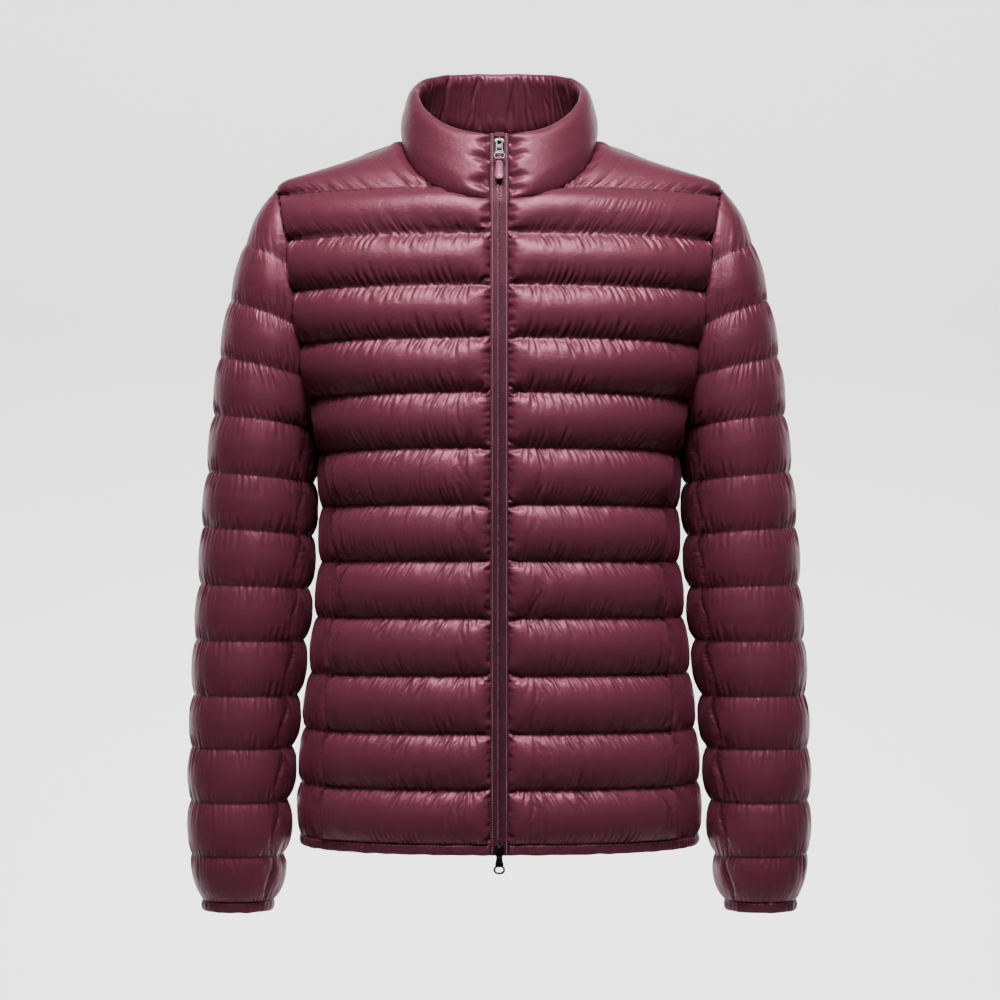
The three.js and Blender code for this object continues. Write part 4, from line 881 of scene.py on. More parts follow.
def rod(path, up, half_wide, half_high, around=False, sides=12):
    """An oval carried along a path: across it by the cosine, and along the given direction by the sine."""
    turn = 2 * np.pi * np.arange(sides) / sides
    ahead = np.roll(path, -1, axis=0) - np.roll(path, 1, axis=0) if around else np.gradient(path, axis=0)
    up = np.broadcast_to(np.array(up, float), path.shape)
    side = unit(np.cross(ahead, up))
    rings = path[:, None] + side[:, None] * (half_wide * np.cos(turn))[None, :, None]
    return lofted(rings + up[:, None] * (half_high * np.sin(turn))[None, :, None], around)


def oval_path(half_x, half_z, centre_z, out, power, steps=40):
    """A rounded oval in x and z, at one distance out."""
    turn = 2 * np.pi * np.arange(steps) / steps
    c, q = np.cos(turn), np.sin(turn)
    x = half_x * np.sign(c) * np.abs(c) ** (2 / power)
    return points(x, -out, centre_z + half_z * np.sign(q) * np.abs(q) ** (2 / power))


def placed(part, origin, tilt=0.0):
    """A part turned about X and moved to its origin."""
    spots, faces, uv = part
    c, q = math.cos(tilt), math.sin(tilt)
    turned = points(spots[:, 0], spots[:, 1] * c - spots[:, 2] * q, spots[:, 1] * q + spots[:, 2] * c)
    return turned + origin, faces, uv


# Materials


def new_material(name):
    """An empty node material with its surface shader."""
    material = bpy.data.materials.new(name)
    material.use_nodes = True
    nodes = material.node_tree.nodes
    shader = next(node for node in nodes if node.type == "BSDF_PRINCIPLED")
    return material, material.node_tree, shader


def add_node(tree, kind, inputs=(), **settings):
    """A node with its settings, fed by values or by other nodes' sockets."""
    node = tree.nodes.new(kind)
    for key, value in settings.items():
        setattr(node, key, value)
    for key, value in dict(inputs).items():
        if isinstance(value, bpy.types.NodeSocket):
            tree.links.new(value, node.inputs[key])
        else:
            node.inputs[key].default_value = value
    return node


def colour(rgb):
    """Linear colour of an 8-bit one."""
    return tuple((c / 255 / 12.92 if c <= 10 else ((c / 255 + 0.055) / 1.055) ** 2.4) for c in rgb) + (1,)


def nylon(name, rgb, dark, rough, weave=0.12, crinkle=0.3, sewn=True, sheen=0.1):
    """Satin nylon: uneven dye, fine weave and crinkle as bump. Sewn cloth has painted shade along its
    stitched lines, and has fine gathers beside them and beside its edges, stretched away from the seam."""
    material, tree, shader = new_material(name)
    place = add_node(tree, "ShaderNodeTexCoord")
    cloud = add_node(tree, "ShaderNodeTexNoise", {"Vector": place.outputs["Object"], "Scale": 9, "Detail": 3})
    tone = add_node(tree, "ShaderNodeMix", {
        "Factor": cloud.outputs["Fac"], "A": colour(dark), "B": colour(rgb)}, data_type="RGBA")
    base = tone.outputs["Result"]
    grain = add_node(tree, "ShaderNodeTexNoise", {
        "Vector": place.outputs["Object"], "Scale": 420, "Detail": 4, "Roughness": 0.6})
    gloss = add_node(tree, "ShaderNodeMapRange", {
        "Value": grain.outputs["Fac"], "From Min": 0.3, "From Max": 0.7,
        "To Min": rough - 0.05, "To Max": rough + 0.07})
    tree.links.new(gloss.outputs["Result"], shader.inputs["Roughness"])
    threads = []
    for direction in ("X", "Y"):
        threads.append(add_node(tree, "ShaderNodeTexWave", {
            "Vector": place.outputs["UV"], "Scale": 640, "Distortion": 0.4}, bands_direction=direction))
    woven = add_node(tree, "ShaderNodeMath", {0: threads[0].outputs["Fac"], 1: threads[1].outputs["Fac"]},
                     operation="MULTIPLY")
    bump = add_node(tree, "ShaderNodeBump", {
        "Height": woven.outputs["Value"], "Strength": weave, "Distance": 0.0001})
    creased = add_node(tree, "ShaderNodeTexNoise", {
        "Vector": place.outputs["Object"], "Scale": 150, "Detail": 5, "Roughness": 0.62, "Distortion": 0.8})
    bump = add_node(tree, "ShaderNodeBump", {
        "Height": creased.outputs["Fac"], "Strength": crinkle, "Distance": 0.0012,
        "Normal": bump.outputs["Normal"]})
    if sewn:
        near = add_node(tree, "ShaderNodeAttribute", attribute_name="seam")
        beside = add_node(tree, "ShaderNodeAttribute", attribute_name="edge")
        # Painted shade: the colour darkens towards each stitched line, down to 0.45 of the dark tone, for the
        # shade in the seam valleys
        shade = add_node(tree, "ShaderNodeMapRange", {
            "Value": near.outputs["Fac"], "From Min": 0.0, "From Max": 1.8, "To Min": 0.3, "To Max": 1.0})
        painted_seam_shade = add_node(tree, "ShaderNodeMix", {"Factor": shade.outputs["Result"], "A": colour(
            tuple(c * 0.45 for c in dark)), "B": base}, data_type="RGBA")
        base = painted_seam_shade.outputs["Result"]
        for mark, stretch, reach in ((near, (200, 25, 1), 18), (beside, (25, 200, 1), 12)):
            along = add_node(tree, "ShaderNodeMapping", {"Vector": place.outputs["UV"], "Scale": stretch})
            folds = add_node(tree, "ShaderNodeTexNoise", {
                "Vector": along.outputs["Vector"], "Scale": 1.0, "Detail": 2.5, "Roughness": 0.55,
                "Distortion": 0.5})
            fade = add_node(tree, "ShaderNodeMapRange", {
                "Value": mark.outputs["Fac"], "From Min": 1.0, "From Max": reach,
                "To Min": 1.0, "To Max": 0.0}, interpolation_type="SMOOTHSTEP")
            height = add_node(tree, "ShaderNodeMath", {0: folds.outputs["Fac"], 1: fade.outputs["Result"]},
                              operation="MULTIPLY")
            bump = add_node(tree, "ShaderNodeBump", {
                "Height": height.outputs["Value"], "Strength": 0.65, "Distance": 0.0022,
                "Normal": bump.outputs["Normal"]})
    tree.links.new(base, shader.inputs["Base Color"])
    tree.links.new(bump.outputs["Normal"], shader.inputs["Normal"])
    shader.inputs["Specular IOR Level"].default_value = 0.46
    shader.inputs["Specular Tint"].default_value = colour((255, 158, 188))
    shader.inputs["Sheen Weight"].default_value = sheen
    shader.inputs["Sheen Roughness"].default_value = 0.4
    shader.inputs["Sheen Tint"].default_value = colour((190, 96, 130))
    return material


def metal(name, rgb, rough):
    """Plated metal with fine scratches and worn gloss."""
    material, tree, shader = new_material(name)
    place = add_node(tree, "ShaderNodeTexCoord")
    wear = add_node(tree, "ShaderNodeTexNoise", {
        "Vector": place.outputs["Object"], "Scale": 900, "Detail": 6})
    tone = add_node(tree, "ShaderNodeMix", {
        "Factor": wear.outputs["Fac"], "A": colour(tuple(c * 0.8 for c in rgb)), "B": colour(rgb)},
        data_type="RGBA")
    tree.links.new(tone.outputs["Result"], shader.inputs["Base Color"])
    gloss = add_node(tree, "ShaderNodeMapRange", {
        "Value": wear.outputs["Fac"], "To Min": rough - 0.08, "To Max": rough + 0.12})
    tree.links.new(gloss.outputs["Result"], shader.inputs["Roughness"])
    bump = add_node(tree, "ShaderNodeBump", {
        "Height": wear.outputs["Fac"], "Strength": 0.15, "Distance": 0.0002})
    tree.links.new(bump.outputs["Normal"], shader.inputs["Normal"])
    shader.inputs["Metallic"].default_value = 1.0
    return material


MATERIALS = {}


def material_for(key):
    """The jacket's materials, made once from the panel's colours."""
    if not MATERIALS:
        tones = bpy.context.scene.jacket_colours
        shell = [round(255 * c) for c in tones.shell]
        trim = [round(255 * c) for c in tones.trim]
        MATERIALS["shell"] = nylon("plum_nylon", shell, tuple(c * 0.86 for c in shell), tones.gloss)
        MATERIALS["trim"] = nylon("zip_tape_weave", trim, tuple(c * 0.8 for c in trim), 0.6, 0.6, 0.15, False)
        MATERIALS["binding"] = nylon(
            "plum_binding", tuple(c * 0.95 for c in shell), tuple(c * 0.8 for c in shell), 0.45, 0.5, 0.3,
            False)
        MATERIALS["coil"] = nylon("coil_nylon", (58, 28, 40), (44, 21, 30), 0.36, 0.0, 0.1, False)
        MATERIALS["thread"] = nylon("plum_thread", (176, 116, 140), (150, 92, 116), 0.5, 0.0, 0.1, False)
        MATERIALS["gunmetal"] = metal("gunmetal_plate", (92, 87, 90), 0.34)
        MATERIALS["black"] = metal("black_plate", (44, 41, 43), 0.34)
        MATERIALS["tab"] = nylon("tab_cover", (112, 66, 84), (96, 54, 70), 0.4, 0.1, 0.1, False)
    return MATERIALS[key]


def dress(obj, key, slot, *nodes, body=BODY):
    """Gives a piece its material and body, and hides the frame's parts that it stands for; the slot is not
    used.
    """
    obj.data.materials.clear()
    obj.data.materials.append(material_for(key))
    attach(obj, body)
    if nodes:
        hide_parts(*nodes)
    return obj


# Pieces


def body_inside(grid):
    """A point inside the body for each point of its surface."""
    return points(0.35 * grid[..., 0], 0, np.minimum(grid[..., 2], -90) + 10)


def calm(share, factors, fullness=0.15):
    """Fullness of each row: that of a factor for each of the first channels, and the usual one below."""
    channel = np.arange(len(share) - 1) // CHANNEL_ROWS
    factor = np.ones(channel[-1] + 1)
    factor[: len(factors)] = factors
    return (fullness * factor[np.append(channel, channel[-1])])[:, None]


def make_front(side, seed):
    """One front, from zip to armhole and side seam."""
    channels = front_channels()
    u = even_shares(channels[6][0], FRONT_STEPS)
    base, share = panel_grid(channels, u)
    normal = grid_normals(base, body_inside(base))
    to_start = length(base - base[:, :1])
    to_end = length(base - base[:, -1:])
    neck_rows = CHANNEL_ROWS + int(CHANNEL_ROWS * NECK_CORNER)
    start_normal = np.where(
        (np.arange(len(base)) <= neck_rows)[:, None], neckline_normal(base[:, 0]),
        unit(flat_in(normal[:, 0], 0) + (-0.6, 0, 0)))
    beside_arm = (base[:, -1, 2] >= ARMPIT_LEVEL)[:, None]
    end_normal = np.where(beside_arm, armhole_normal(base[:, -1]), normal[:, -1])
    normal = turn_to(normal, start_normal[:, None], to_start)
    normal = turn_to(normal, end_normal[:, None], to_end)
    normal = turn_to(normal, flat_in(normal[:1], 1), length(base - base[:1]))
    normal = turn_to(normal, flat_in(normal[-1:], 2), length(base - base[-1:]))
    normal[:, 0], normal[:, -1] = start_normal, end_normal
    puff = PUFF["front"] * pinch(to_start) * pinch(to_end, 8) * pinch(neck_distance(base) - 1, NECK_TAPER)
    word = "left" if side > 0 else "right"
    obj, outer, seams = quilted(
        f"front_shell_{word}", base, share, normal, puff, seed, side < 0, calm(share, (0, 0.3, 0.8)), bow=1.0)
    dress(obj, "shell", "plum_shell", f"front_{word}")
    return outer, seams


def make_back(seed):
    """The back, from side to side."""
    channels = back_channels()
    u = even_shares(channels[7][0], BACK_STEPS)
    base, share = panel_grid(channels, u)
    normal = grid_normals(base, body_inside(base))
    to_start = length(base - base[:, :1])
    to_end = length(base - base[:, -1:])
    for column, distance in ((0, to_start), (-1, to_end)):
        beside_arm = (base[:, column, 2] >= ARMPIT_LEVEL)[:, None]
        edge = np.where(beside_arm, armhole_normal(base[:, column]), normal[:, column])
        normal = turn_to(normal, edge[:, None], distance)
        normal[:, column] = edge
    on_neck = (np.abs(base[0, :, 0]) <= SHOULDER_NECK[0])[:, None]
    top = np.where(on_neck, neckline_normal(base[0]), flat_in(normal[0], 1))
    normal = turn_to(normal, top[None], length(base - base[:1]))
    normal = turn_to(normal, flat_in(normal[-1:], 2), length(base - base[-1:]))
    puff = PUFF["back"] * pinch(np.minimum(to_start, to_end), 8) * pinch(neck_distance(base) - 1, NECK_TAPER)
    obj, outer, seams = quilted(
        "back_shell", base, share, normal, puff, seed, False, calm(share, (0, 0, 0.25, 0.8)),
        bow=0.6 * (2 * u - 1))
    dress(obj, "shell", "plum_shell", "back")
    return outer, seams


def make_side(side, seed):
    """One side panel, under the arm."""
    base, share = panel_grid(side_channels(), np.linspace(0, 1, SIDE_STEPS + 1))
    normal = grid_normals(base, points(0, 0, base[..., 2]))
    edge = armhole_normal(base[0])
    normal = turn_to(normal, edge[None], length(base - base[:1]), 16)
    normal = turn_to(normal, flat_in(normal[-1:], 2), length(base - base[-1:]))
    reach = np.minimum(length(base - base[:, :1]), length(base - base[:, -1:]))
    clear = np.clip((-300 - base[..., 2]) / 90, 0.6, 1)
    puff = PUFF["side"] * clear * pinch(reach)
    word = "left" if side > 0 else "right"
    obj, outer, seams = quilted(f"side_shell_{word}", base, share, normal, puff, seed, side < 0, slack=-0.07)
    dress(obj, "shell", "plum_shell", f"side_{word}")
    return outer, seams


def make_sleeve(side, seed):
    """One sleeve, from the armhole to the cuff."""
    seams = len(SLEEVE["outX"]) - 1
    place = np.arange(seams * CHANNEL_ROWS + 1) / CHANNEL_ROWS
    u = np.linspace(0, 1, SLEEVE_STEPS + 1)
    base = sleeve_grid(place, u)
    share = np.concatenate([[0.0]] + [np.arange(1, CHANNEL_ROWS + 1) / CHANNEL_ROWS] * seams)
    tube_row = SLEEVE_TUBE * CHANNEL_ROWS
    ring = sleeve_ring(place)
    drop = np.where(place < SLEEVE_TUBE, 20, 0)[:, None]
    inside = points((ring["centre"] - 12 * (place < 1))[:, None], ring["fore"][:, None], base[..., 2] - drop)
    normal = grid_normals(base, inside)
    upper = slice(0, tube_row + 1)
    normal[upper, :, 0] = np.maximum(0, normal[upper, :, 0])
    normal = unit(normal)
    tube = slice(tube_row + 1, None)
    seam_normal = unit(normal[tube, 0] + normal[tube, -1])
    normal[tube, 0] = normal[tube, -1] = seam_normal
    reach = np.minimum(length(base - base[:, :1]), length(base - base[:, -1:]))
    edge = armhole_normal(base[upper, 0])
    other = armhole_normal(base[upper, -1])
    half = SLEEVE_STEPS // 2
    normal[upper, :half] = turn_to(normal[upper, :half], edge[:, None], reach[upper, :half])
    normal[upper, half:] = turn_to(normal[upper, half:], other[:, None], reach[upper, half:])
    normal[0] = armhole_normal(SHOULDER_POINT)
    normal = turn_to(normal, flat_in(normal[-1:], 2), length(base - base[-1:]))
    beside = np.where((place < SLEEVE_TUBE + 1)[:, None], pinch(reach, 8), 1)
    level = np.clip((place - SLEEVE_REST["to"] + 2) / 2, 0, 1)[:, None]
    near = (place > SLEEVE_REST["from"])[:, None] & (reach < SLEEVE_REST["reach"])
    rest = np.where(near, mix(np.maximum(SLEEVE_REST["left"], reach / SLEEVE_REST["reach"]), 1, level), 1)
    word = "left" if side > 0 else "right"
    obj, outer, rows = quilted(
        f"sleeve_shell_{word}", base, share, normal, PUFF["sleeve"] * beside * rest, seed, side < 0,
        calm(share, (0, 0.8, 1.0), 0.24), bow=0.0, drift=-0.8 * np.cos(np.pi * u), tube_row=tube_row,
        slack=-0.085, seam_column=round(SLEEVE_STEPS * 0.1), wave=9.5)
    dress(obj, "shell", "plum_shell", f"sleeve_{word}")
    return outer, rows


def collar_point(up, turn, side):
    """Between the loops at the neckline and the rim, at shares up and round; the zip's edge is straight."""
    width = mix(NECK["width"], RIM["width"], up)[:, None]
    start = np.arcsin(((ZIP_HALF + SEAM) / width) ** (NECK["power"] / 2))
    angle = np.pi - (np.pi - start) * turn[None]
    low = neck_loop(NECK, angle, side[None]) + (0, 0, SEAM)
    return mix(low, neck_loop(RIM, angle, side[None]), up[:, None, None])


def make_collar(seed):
    """The collar: one puff from the neckline over the rim and down inside, held at its seams and the zip.

    A section of distance out by share of height is carried round. The cloth inside is longer than its
    seat, so that it folds upright, and at the zip it is longer downwards, so that it puckers."""
    spread = np.linspace(-1, 1, COLLAR_STEPS + 1)
    turn, side = np.abs(spread), np.where(spread < 0, -1.0, 1.0)
    section = np.stack([60 * COLLAR_SECTION["up"], COLLAR_SECTION["out"]], -1)
    walked = np.cumsum(np.pad(length(np.diff(section, axis=0)), (1, 0)))
    stops = np.linspace(0, walked[-1], COLLAR_ROWS + 1)
    up, out, gather = (np.interp(stops, walked, COLLAR_SECTION[key]) for key in ("up", "out", "gather"))
    for _ in range(3):
        for row in (up, out, gather):
            row[1:-1] = (row[:-2] + 2 * row[1:-1] + row[2:]) / 4
    low, high = collar_point(np.zeros(1), turn, side)[0], collar_point(np.ones(1), turn, side)[0]
    rise = unit(high - low)
    outwards = points(low[:, 0] / NECK["width"], low[:, 1] / NECK["front"], 0)
    normal = unit(outwards - rise * (outwards * rise).sum(axis=-1)[:, None])
    normal[[0, -1]] = flat_in(normal[[0, -1]], 0)
    at_seam = neckline_normal(low)
    at_seam[[0, -1]] = flat_in(at_seam[[0, -1]], 0)
    way = unit(mix(at_seam[None], normal[None], np.clip(up / 0.2, 0, 1)[:, None, None]))
    full = mix(0.25, 1, pinch((1 - turn) * math.pi * NECK["width"], COLLAR_PINCH))
    skin = collar_point(up, turn, side) + way * (out[:, None] * full)[..., None]
    inner_up = np.minimum(up, 0.88)
    middle = np.interp(inner_up, COLLAR_MIDDLE["up"], COLLAR_MIDDLE["out"])
    base = collar_point(inner_up, turn, side) + way * (middle[:, None] * full)[..., None]
    away = unit(skin - base)
    away[[0, -1]] = np.stack([way[0], -way[-1]])
    walked_u = np.cumsum(np.pad(length(np.diff(skin, axis=1)), ((0, 0), (1, 0))), axis=1)
    walked_v = np.cumsum(np.pad(length(np.diff(skin, axis=0)), ((1, 0), (0, 0))), axis=0)
    edge = np.minimum(length(skin - skin[:, :1]), length(skin - skin[:, -1:]))
    inside = (np.arange(COLLAR_ROWS + 1) > COLLAR_ROWS * 0.56)[:, None]
    uneven = turn + 0.016 * np.sin(17 * spread + 1) + 0.009 * np.sin(41 * spread)
    folds = 1.5 * np.cos(np.pi * COLLAR_FOLDS * uneven) * (1 - 0.6 * turn)
    rim = np.exp(-((np.abs(up - 0.97) / 0.09) ** 2))[:, None]
    bumps = gather[:, None] * folds + 0.45 * inside * field(walked_u, walked_v, 9, 60, seed)
    bumps += 0.4 * rim * field(walked_u, walked_v, 6, 9, seed + 1, 1.2)
    bumps += 0.75 * np.exp(-((edge / 22) ** 2)) * (1 - inside) * field(walked_v, walked_u, 13, 60, seed + 2)
    held = np.zeros(edge.shape, bool)
    held[[0, -1]] = held[:, [0, -1]] = True
    start = skin + away * np.where(held, 0, bumps)[..., None]
    excess = 0.075 * np.where(inside, 1, 0) * np.minimum(1, gather + 0.3)[:, None] + 0.025 * rim
    excess = excess * (1 + 0.3 * field(walked_u, walked_v, 60, 90, seed + 3)) - 0.012 * (1 - inside)
    across = length(np.diff(skin, axis=1)) * (1 + (excess[:, 1:] + excess[:, :-1]) / 2)
    down = length(np.diff(skin, axis=0)) * (1 + 0.2 * np.exp(-edge / 16)[1:] - 0.025 * (1 - inside[1:]))
    skin = swell(start, base, skin, away, held, across, down, cap=6.0, lift=0.0012, stiff=0.06, least=0.5)
    spots, faces, uv = lofted(np.swapaxes(skin, 0, 1))
    # Distance to the collar's seams, which sets the painted shade along them and the folds beside them, and
    # distance to its ends
    seam = np.minimum(walked_v, walked_v[-1:] - walked_v).T
    marks = {}
    for key, values in (("seam", seam), ("edge", edge.T)):
        marks[key] = np.concatenate([values, values[:, :1]], axis=1).ravel()
    obj = mesh_object("collar_shell", spots, faces, uv, marks, sharp=75)
    dress(obj, "shell", "plum_shell", "collar")


def hem_line(steps=720):
    """The top line of the hem's binding and its outward directions: the lowest body seam's rounded oval."""
    power, width = LEVELS["power"][-1], LEVELS["width"][-1]
    gap = math.asin(((ZIP_HALF + SEAM) / width) ** (power / 2))
    angle = np.linspace(gap, 2 * math.pi - gap, steps + 1)
    s, c = np.sin(angle), np.cos(angle)
    depth = np.where(c > 0, LEVELS["front"][-1], LEVELS["back"][-1])
    x = width * np.sign(s) * np.abs(s) ** (2 / power)
    y = -depth * np.sign(c) * np.abs(c) ** (2 / power)
    slope = points(np.sign(x) * np.abs(x / width) ** (power - 1) / width,
                   np.sign(y) * np.abs(y / depth) ** (power - 1) / depth, 0)
    normal = unit(slope)
    normal[[0, -1]] = (0, -1, 0)
    line = points(x, y, LEVEL_Z[-1] - SEAM)
    even = np.cumsum(np.pad(length(np.diff(line, axis=0)), (1, 0)))
    stops = np.linspace(0, even[-1], steps + 1)
    line, normal = (np.stack([np.interp(stops, even, v[:, i]) for i in range(3)], -1) for v in (line, normal))
    return line, unit(normal), float(even[-1])


def make_hem(seed):
    """The elastic binding of the hem and its topstitching."""
    line, normal, around = hem_line()
    line = line + (0, 0, BINDING_LAP)
    height = LEVEL_Z[-1] - SEAM - HEM["bottom"] + BINDING_LAP
    rings = band_rings(line, normal, height, HEM["thick"], 8, seed)
    obj = mesh_object("hem_cloth", *lofted(rings), sharp=80)
    dress(obj, "binding", "plum_trim", "hem_binding")
    row = line - (0, 0, 2.1) + normal * (HEM["thick"] * 0.93)
    stitches = mesh_object("hem_stitches", *stitch_row(row, normal, 2.7, 0.85, 0.26, 0.3))
    dress(stitches, "thread", "plum_trim")


def make_cuff(side, seed):
    """The elastic binding of one cuff and its topstitching."""
    last = np.array([len(SLEEVE["outX"]) - 1.0])
    u = np.linspace(0, 1, 181)[:-1]
    line = sleeve_grid(last, u)[0] + (0, 0, BINDING_LAP - 2 * SEAM)
    ring = sleeve_ring(last)
    across = ring["outX"] - ring["centre"]
    normal = unit(points(
        (line[:, 0] - ring["centre"]) / across**2, (line[:, 1] - ring["fore"]) / ring["depth"] ** 2, 0))
    rings = band_rings(line, normal, CUFF["height"] + BINDING_LAP, CUFF["thick"], 7, seed)
    mirror = (side, 1, 1)
    spots, faces, uv = lofted(rings, around=True)
    word = "left" if side > 0 else "right"
    obj = mesh_object(f"cuff_cloth_{word}", spots * mirror, faces, uv, sharp=80)
    dress(obj, "binding", "plum_trim", f"cuff_{word}")
    row = np.concatenate([line, line[:1]]) - (0, 0, 2.0)
    up = np.concatenate([normal, normal[:1]])
    spots, faces, uv = stitch_row(row + up * (CUFF["thick"] * 0.93), up, 2.7, 0.85, 0.26, 0.3)
    stitches = mesh_object(f"cuff_stitches_{word}", spots * mirror, faces, uv)
    dress(stitches, "thread", "plum_trim")


def zip_line(steps=400):
    """The zip's middle line at even distances, from the rim to the hem, and the directions out of it."""
    corners = [neck_loop(RIM, 0.0), neck_loop(NECK, 0.0)]
    corners += [points(0, -front, z) for front, z in zip(LEVELS["front"][1:], LEVEL_Z[1:])]
    corners.append(points(0, -LEVELS["front"][-1], HEM["bottom"]))
    line = np.array(corners)
    walked = np.cumsum(np.pad(length(np.diff(line, axis=0)), (1, 0)))
    stops = np.linspace(0, walked[-1], steps + 1)
    line = np.stack([np.interp(stops, walked, line[:, i]) for i in range(3)], -1)
    run = np.gradient(line, axis=0)
    for _ in range(6):
        run[1:-1] = (run[:-2] + 2 * run[1:-1] + run[2:]) / 4
    return line, unit(points(0, run[:, 2], -run[:, 1])), float(walked[-1])


def upper_place():
    """Origin and tilt of what sits at the top of the zip."""
    rim, neck = neck_loop(RIM, 0.0), neck_loop(NECK, 0.0)
    return rim, -math.atan2(rim[1] - neck[1], rim[2] - neck[2])


def make_tapes(seed):
    """Both zip tapes with their stitching, the garage over their top, and the coil's teeth."""
    line, normal, long = zip_line()
    section = np.array(TAPE_SECTION)
    rim, tilt = upper_place()
    for side, word in ((1, "left"), (-1, "right")):
        wave = 0.12 * ripple(np.linspace(0, long, len(line)), 26, seed + side)
        out = section[None, :, 1] + wave[:, None] * np.sin(np.pi * np.clip(section[:, 0] / 8.2, 0, 1))[None]
        rings = line[:, None] + normal[:, None] * out[..., None]
        rings[..., 0] = side * section[None, :, 0]
        parts = [lofted(rings)]
        if side > 0:
            half, height = GARAGE["half"], GARAGE["height"]
            shape = smooth_loop(both_sides([(half, -0.2), (half, -height + 1.2), (half - 1, -height)]))
            parts.append(placed(plate(shape, GARAGE["from"], GARAGE["to"], 0.5), rim, tilt))
        obj = mesh_object(f"tape_cloth_{word}", *joined(*parts), sharp=50)
        dress(obj, "trim", "plum_trim", f"zip_tape_{word}", *(["zip_garage"] if side > 0 else []))
        rows = [line + normal * 1.22 + (side * STITCH_AT, 0, 0)]
        stitches = mesh_object(f"tape_stitches_{word}", *joined(*(stitch_row(row, normal) for row in rows)))
        dress(stitches, "thread", "plum_trim")
    places, along, up = spaced(line, COIL["pitch"], normal)
    places, along, up = places[8:], along[8:], up[8:]
    hand = np.where(np.arange(len(places)) % 2 == 0, 1.0, -1.0)[:, None]
    mid = (COIL["from"] + COIL["to"]) / 2
    tilted = unit(np.cross(along, up) + along * 0.12 * hand)
    teeth = beads(places + up * mid + (0.75, 0, 0) * hand, tilted, up, 1.35, 0.62, 0.58)
    core = line[4:, None] + normal[4:, None] * np.array([0.6, 1.95, 1.95, 0.6])[None, :, None]
    core[..., 0] = np.array([-COIL["half"], -COIL["half"], COIL["half"], COIL["half"]])
    thread = stitch_row(line[4:] + normal[4:] * 2.72 + (-1.3, 0, 0), normal[4:], 2.1, 0.62, 0.3, 0.26)
    obj = mesh_object("coil_teeth", *joined(teeth, lofted(core)), sharp=60)
    dress(obj, "coil", "zip_coil", "zip_coil")
    seam = mesh_object("coil_thread", *thread)
    dress(seam, "thread", "plum_trim")


def slider_part():
    """Slider body and the bridge over it that holds the pull's bar, round the hinge."""
    half, waist, top = SLIDER["half"], SLIDER["waist"], SLIDER["top"]
    low = top - SLIDER["length"]
    shape = smooth_loop(both_sides([
        (half * 0.6, top), (half, top - 1.4), (half, top - 4.4), (waist, low + 3.2), (waist, low + 0.7),
        (waist * 0.6, low)]))
    body = plate(shape, SLIDER["from"], SLIDER["to"], 0.6, -0.15)
    under = plate(shape * (0.93, 1), 1.0, SLIDER["from"] + 0.1, 0.5)
    reach, out, foot = BRIDGE["reach"], BRIDGE["out"], SLIDER["to"] - 0.4
    arch_line = np.array([(foot, reach), (out - 1.4, reach), (out - 0.45, 1.5), (out - 0.45, -1.5),
                          (out - 1.4, -reach), (foot, -reach)])
    share = np.linspace(0, 5, 31)
    arch_line = np.stack([np.interp(share, np.arange(6), arch_line[:, i]) for i in range(2)], -1)
    for _ in range(4):
        arch_line[1:-1] = (arch_line[:-2] + 2 * arch_line[1:-1] + arch_line[2:]) / 4
    ahead = np.gradient(arch_line, axis=0)
    turn = 2 * np.pi * np.arange(12) / 12
    outwards = unit(points(0, -ahead[:, 1], -ahead[:, 0]))
    path = points(0, -arch_line[:, 0], arch_line[:, 1])
    rings = path[:, None] + outwards[:, None] * (0.5 * np.sin(turn))[None, :, None]
    rings = rings + points(BRIDGE["half"] * np.cos(turn), 0, 0)[None]
    return joined(body, under, lofted(rings))


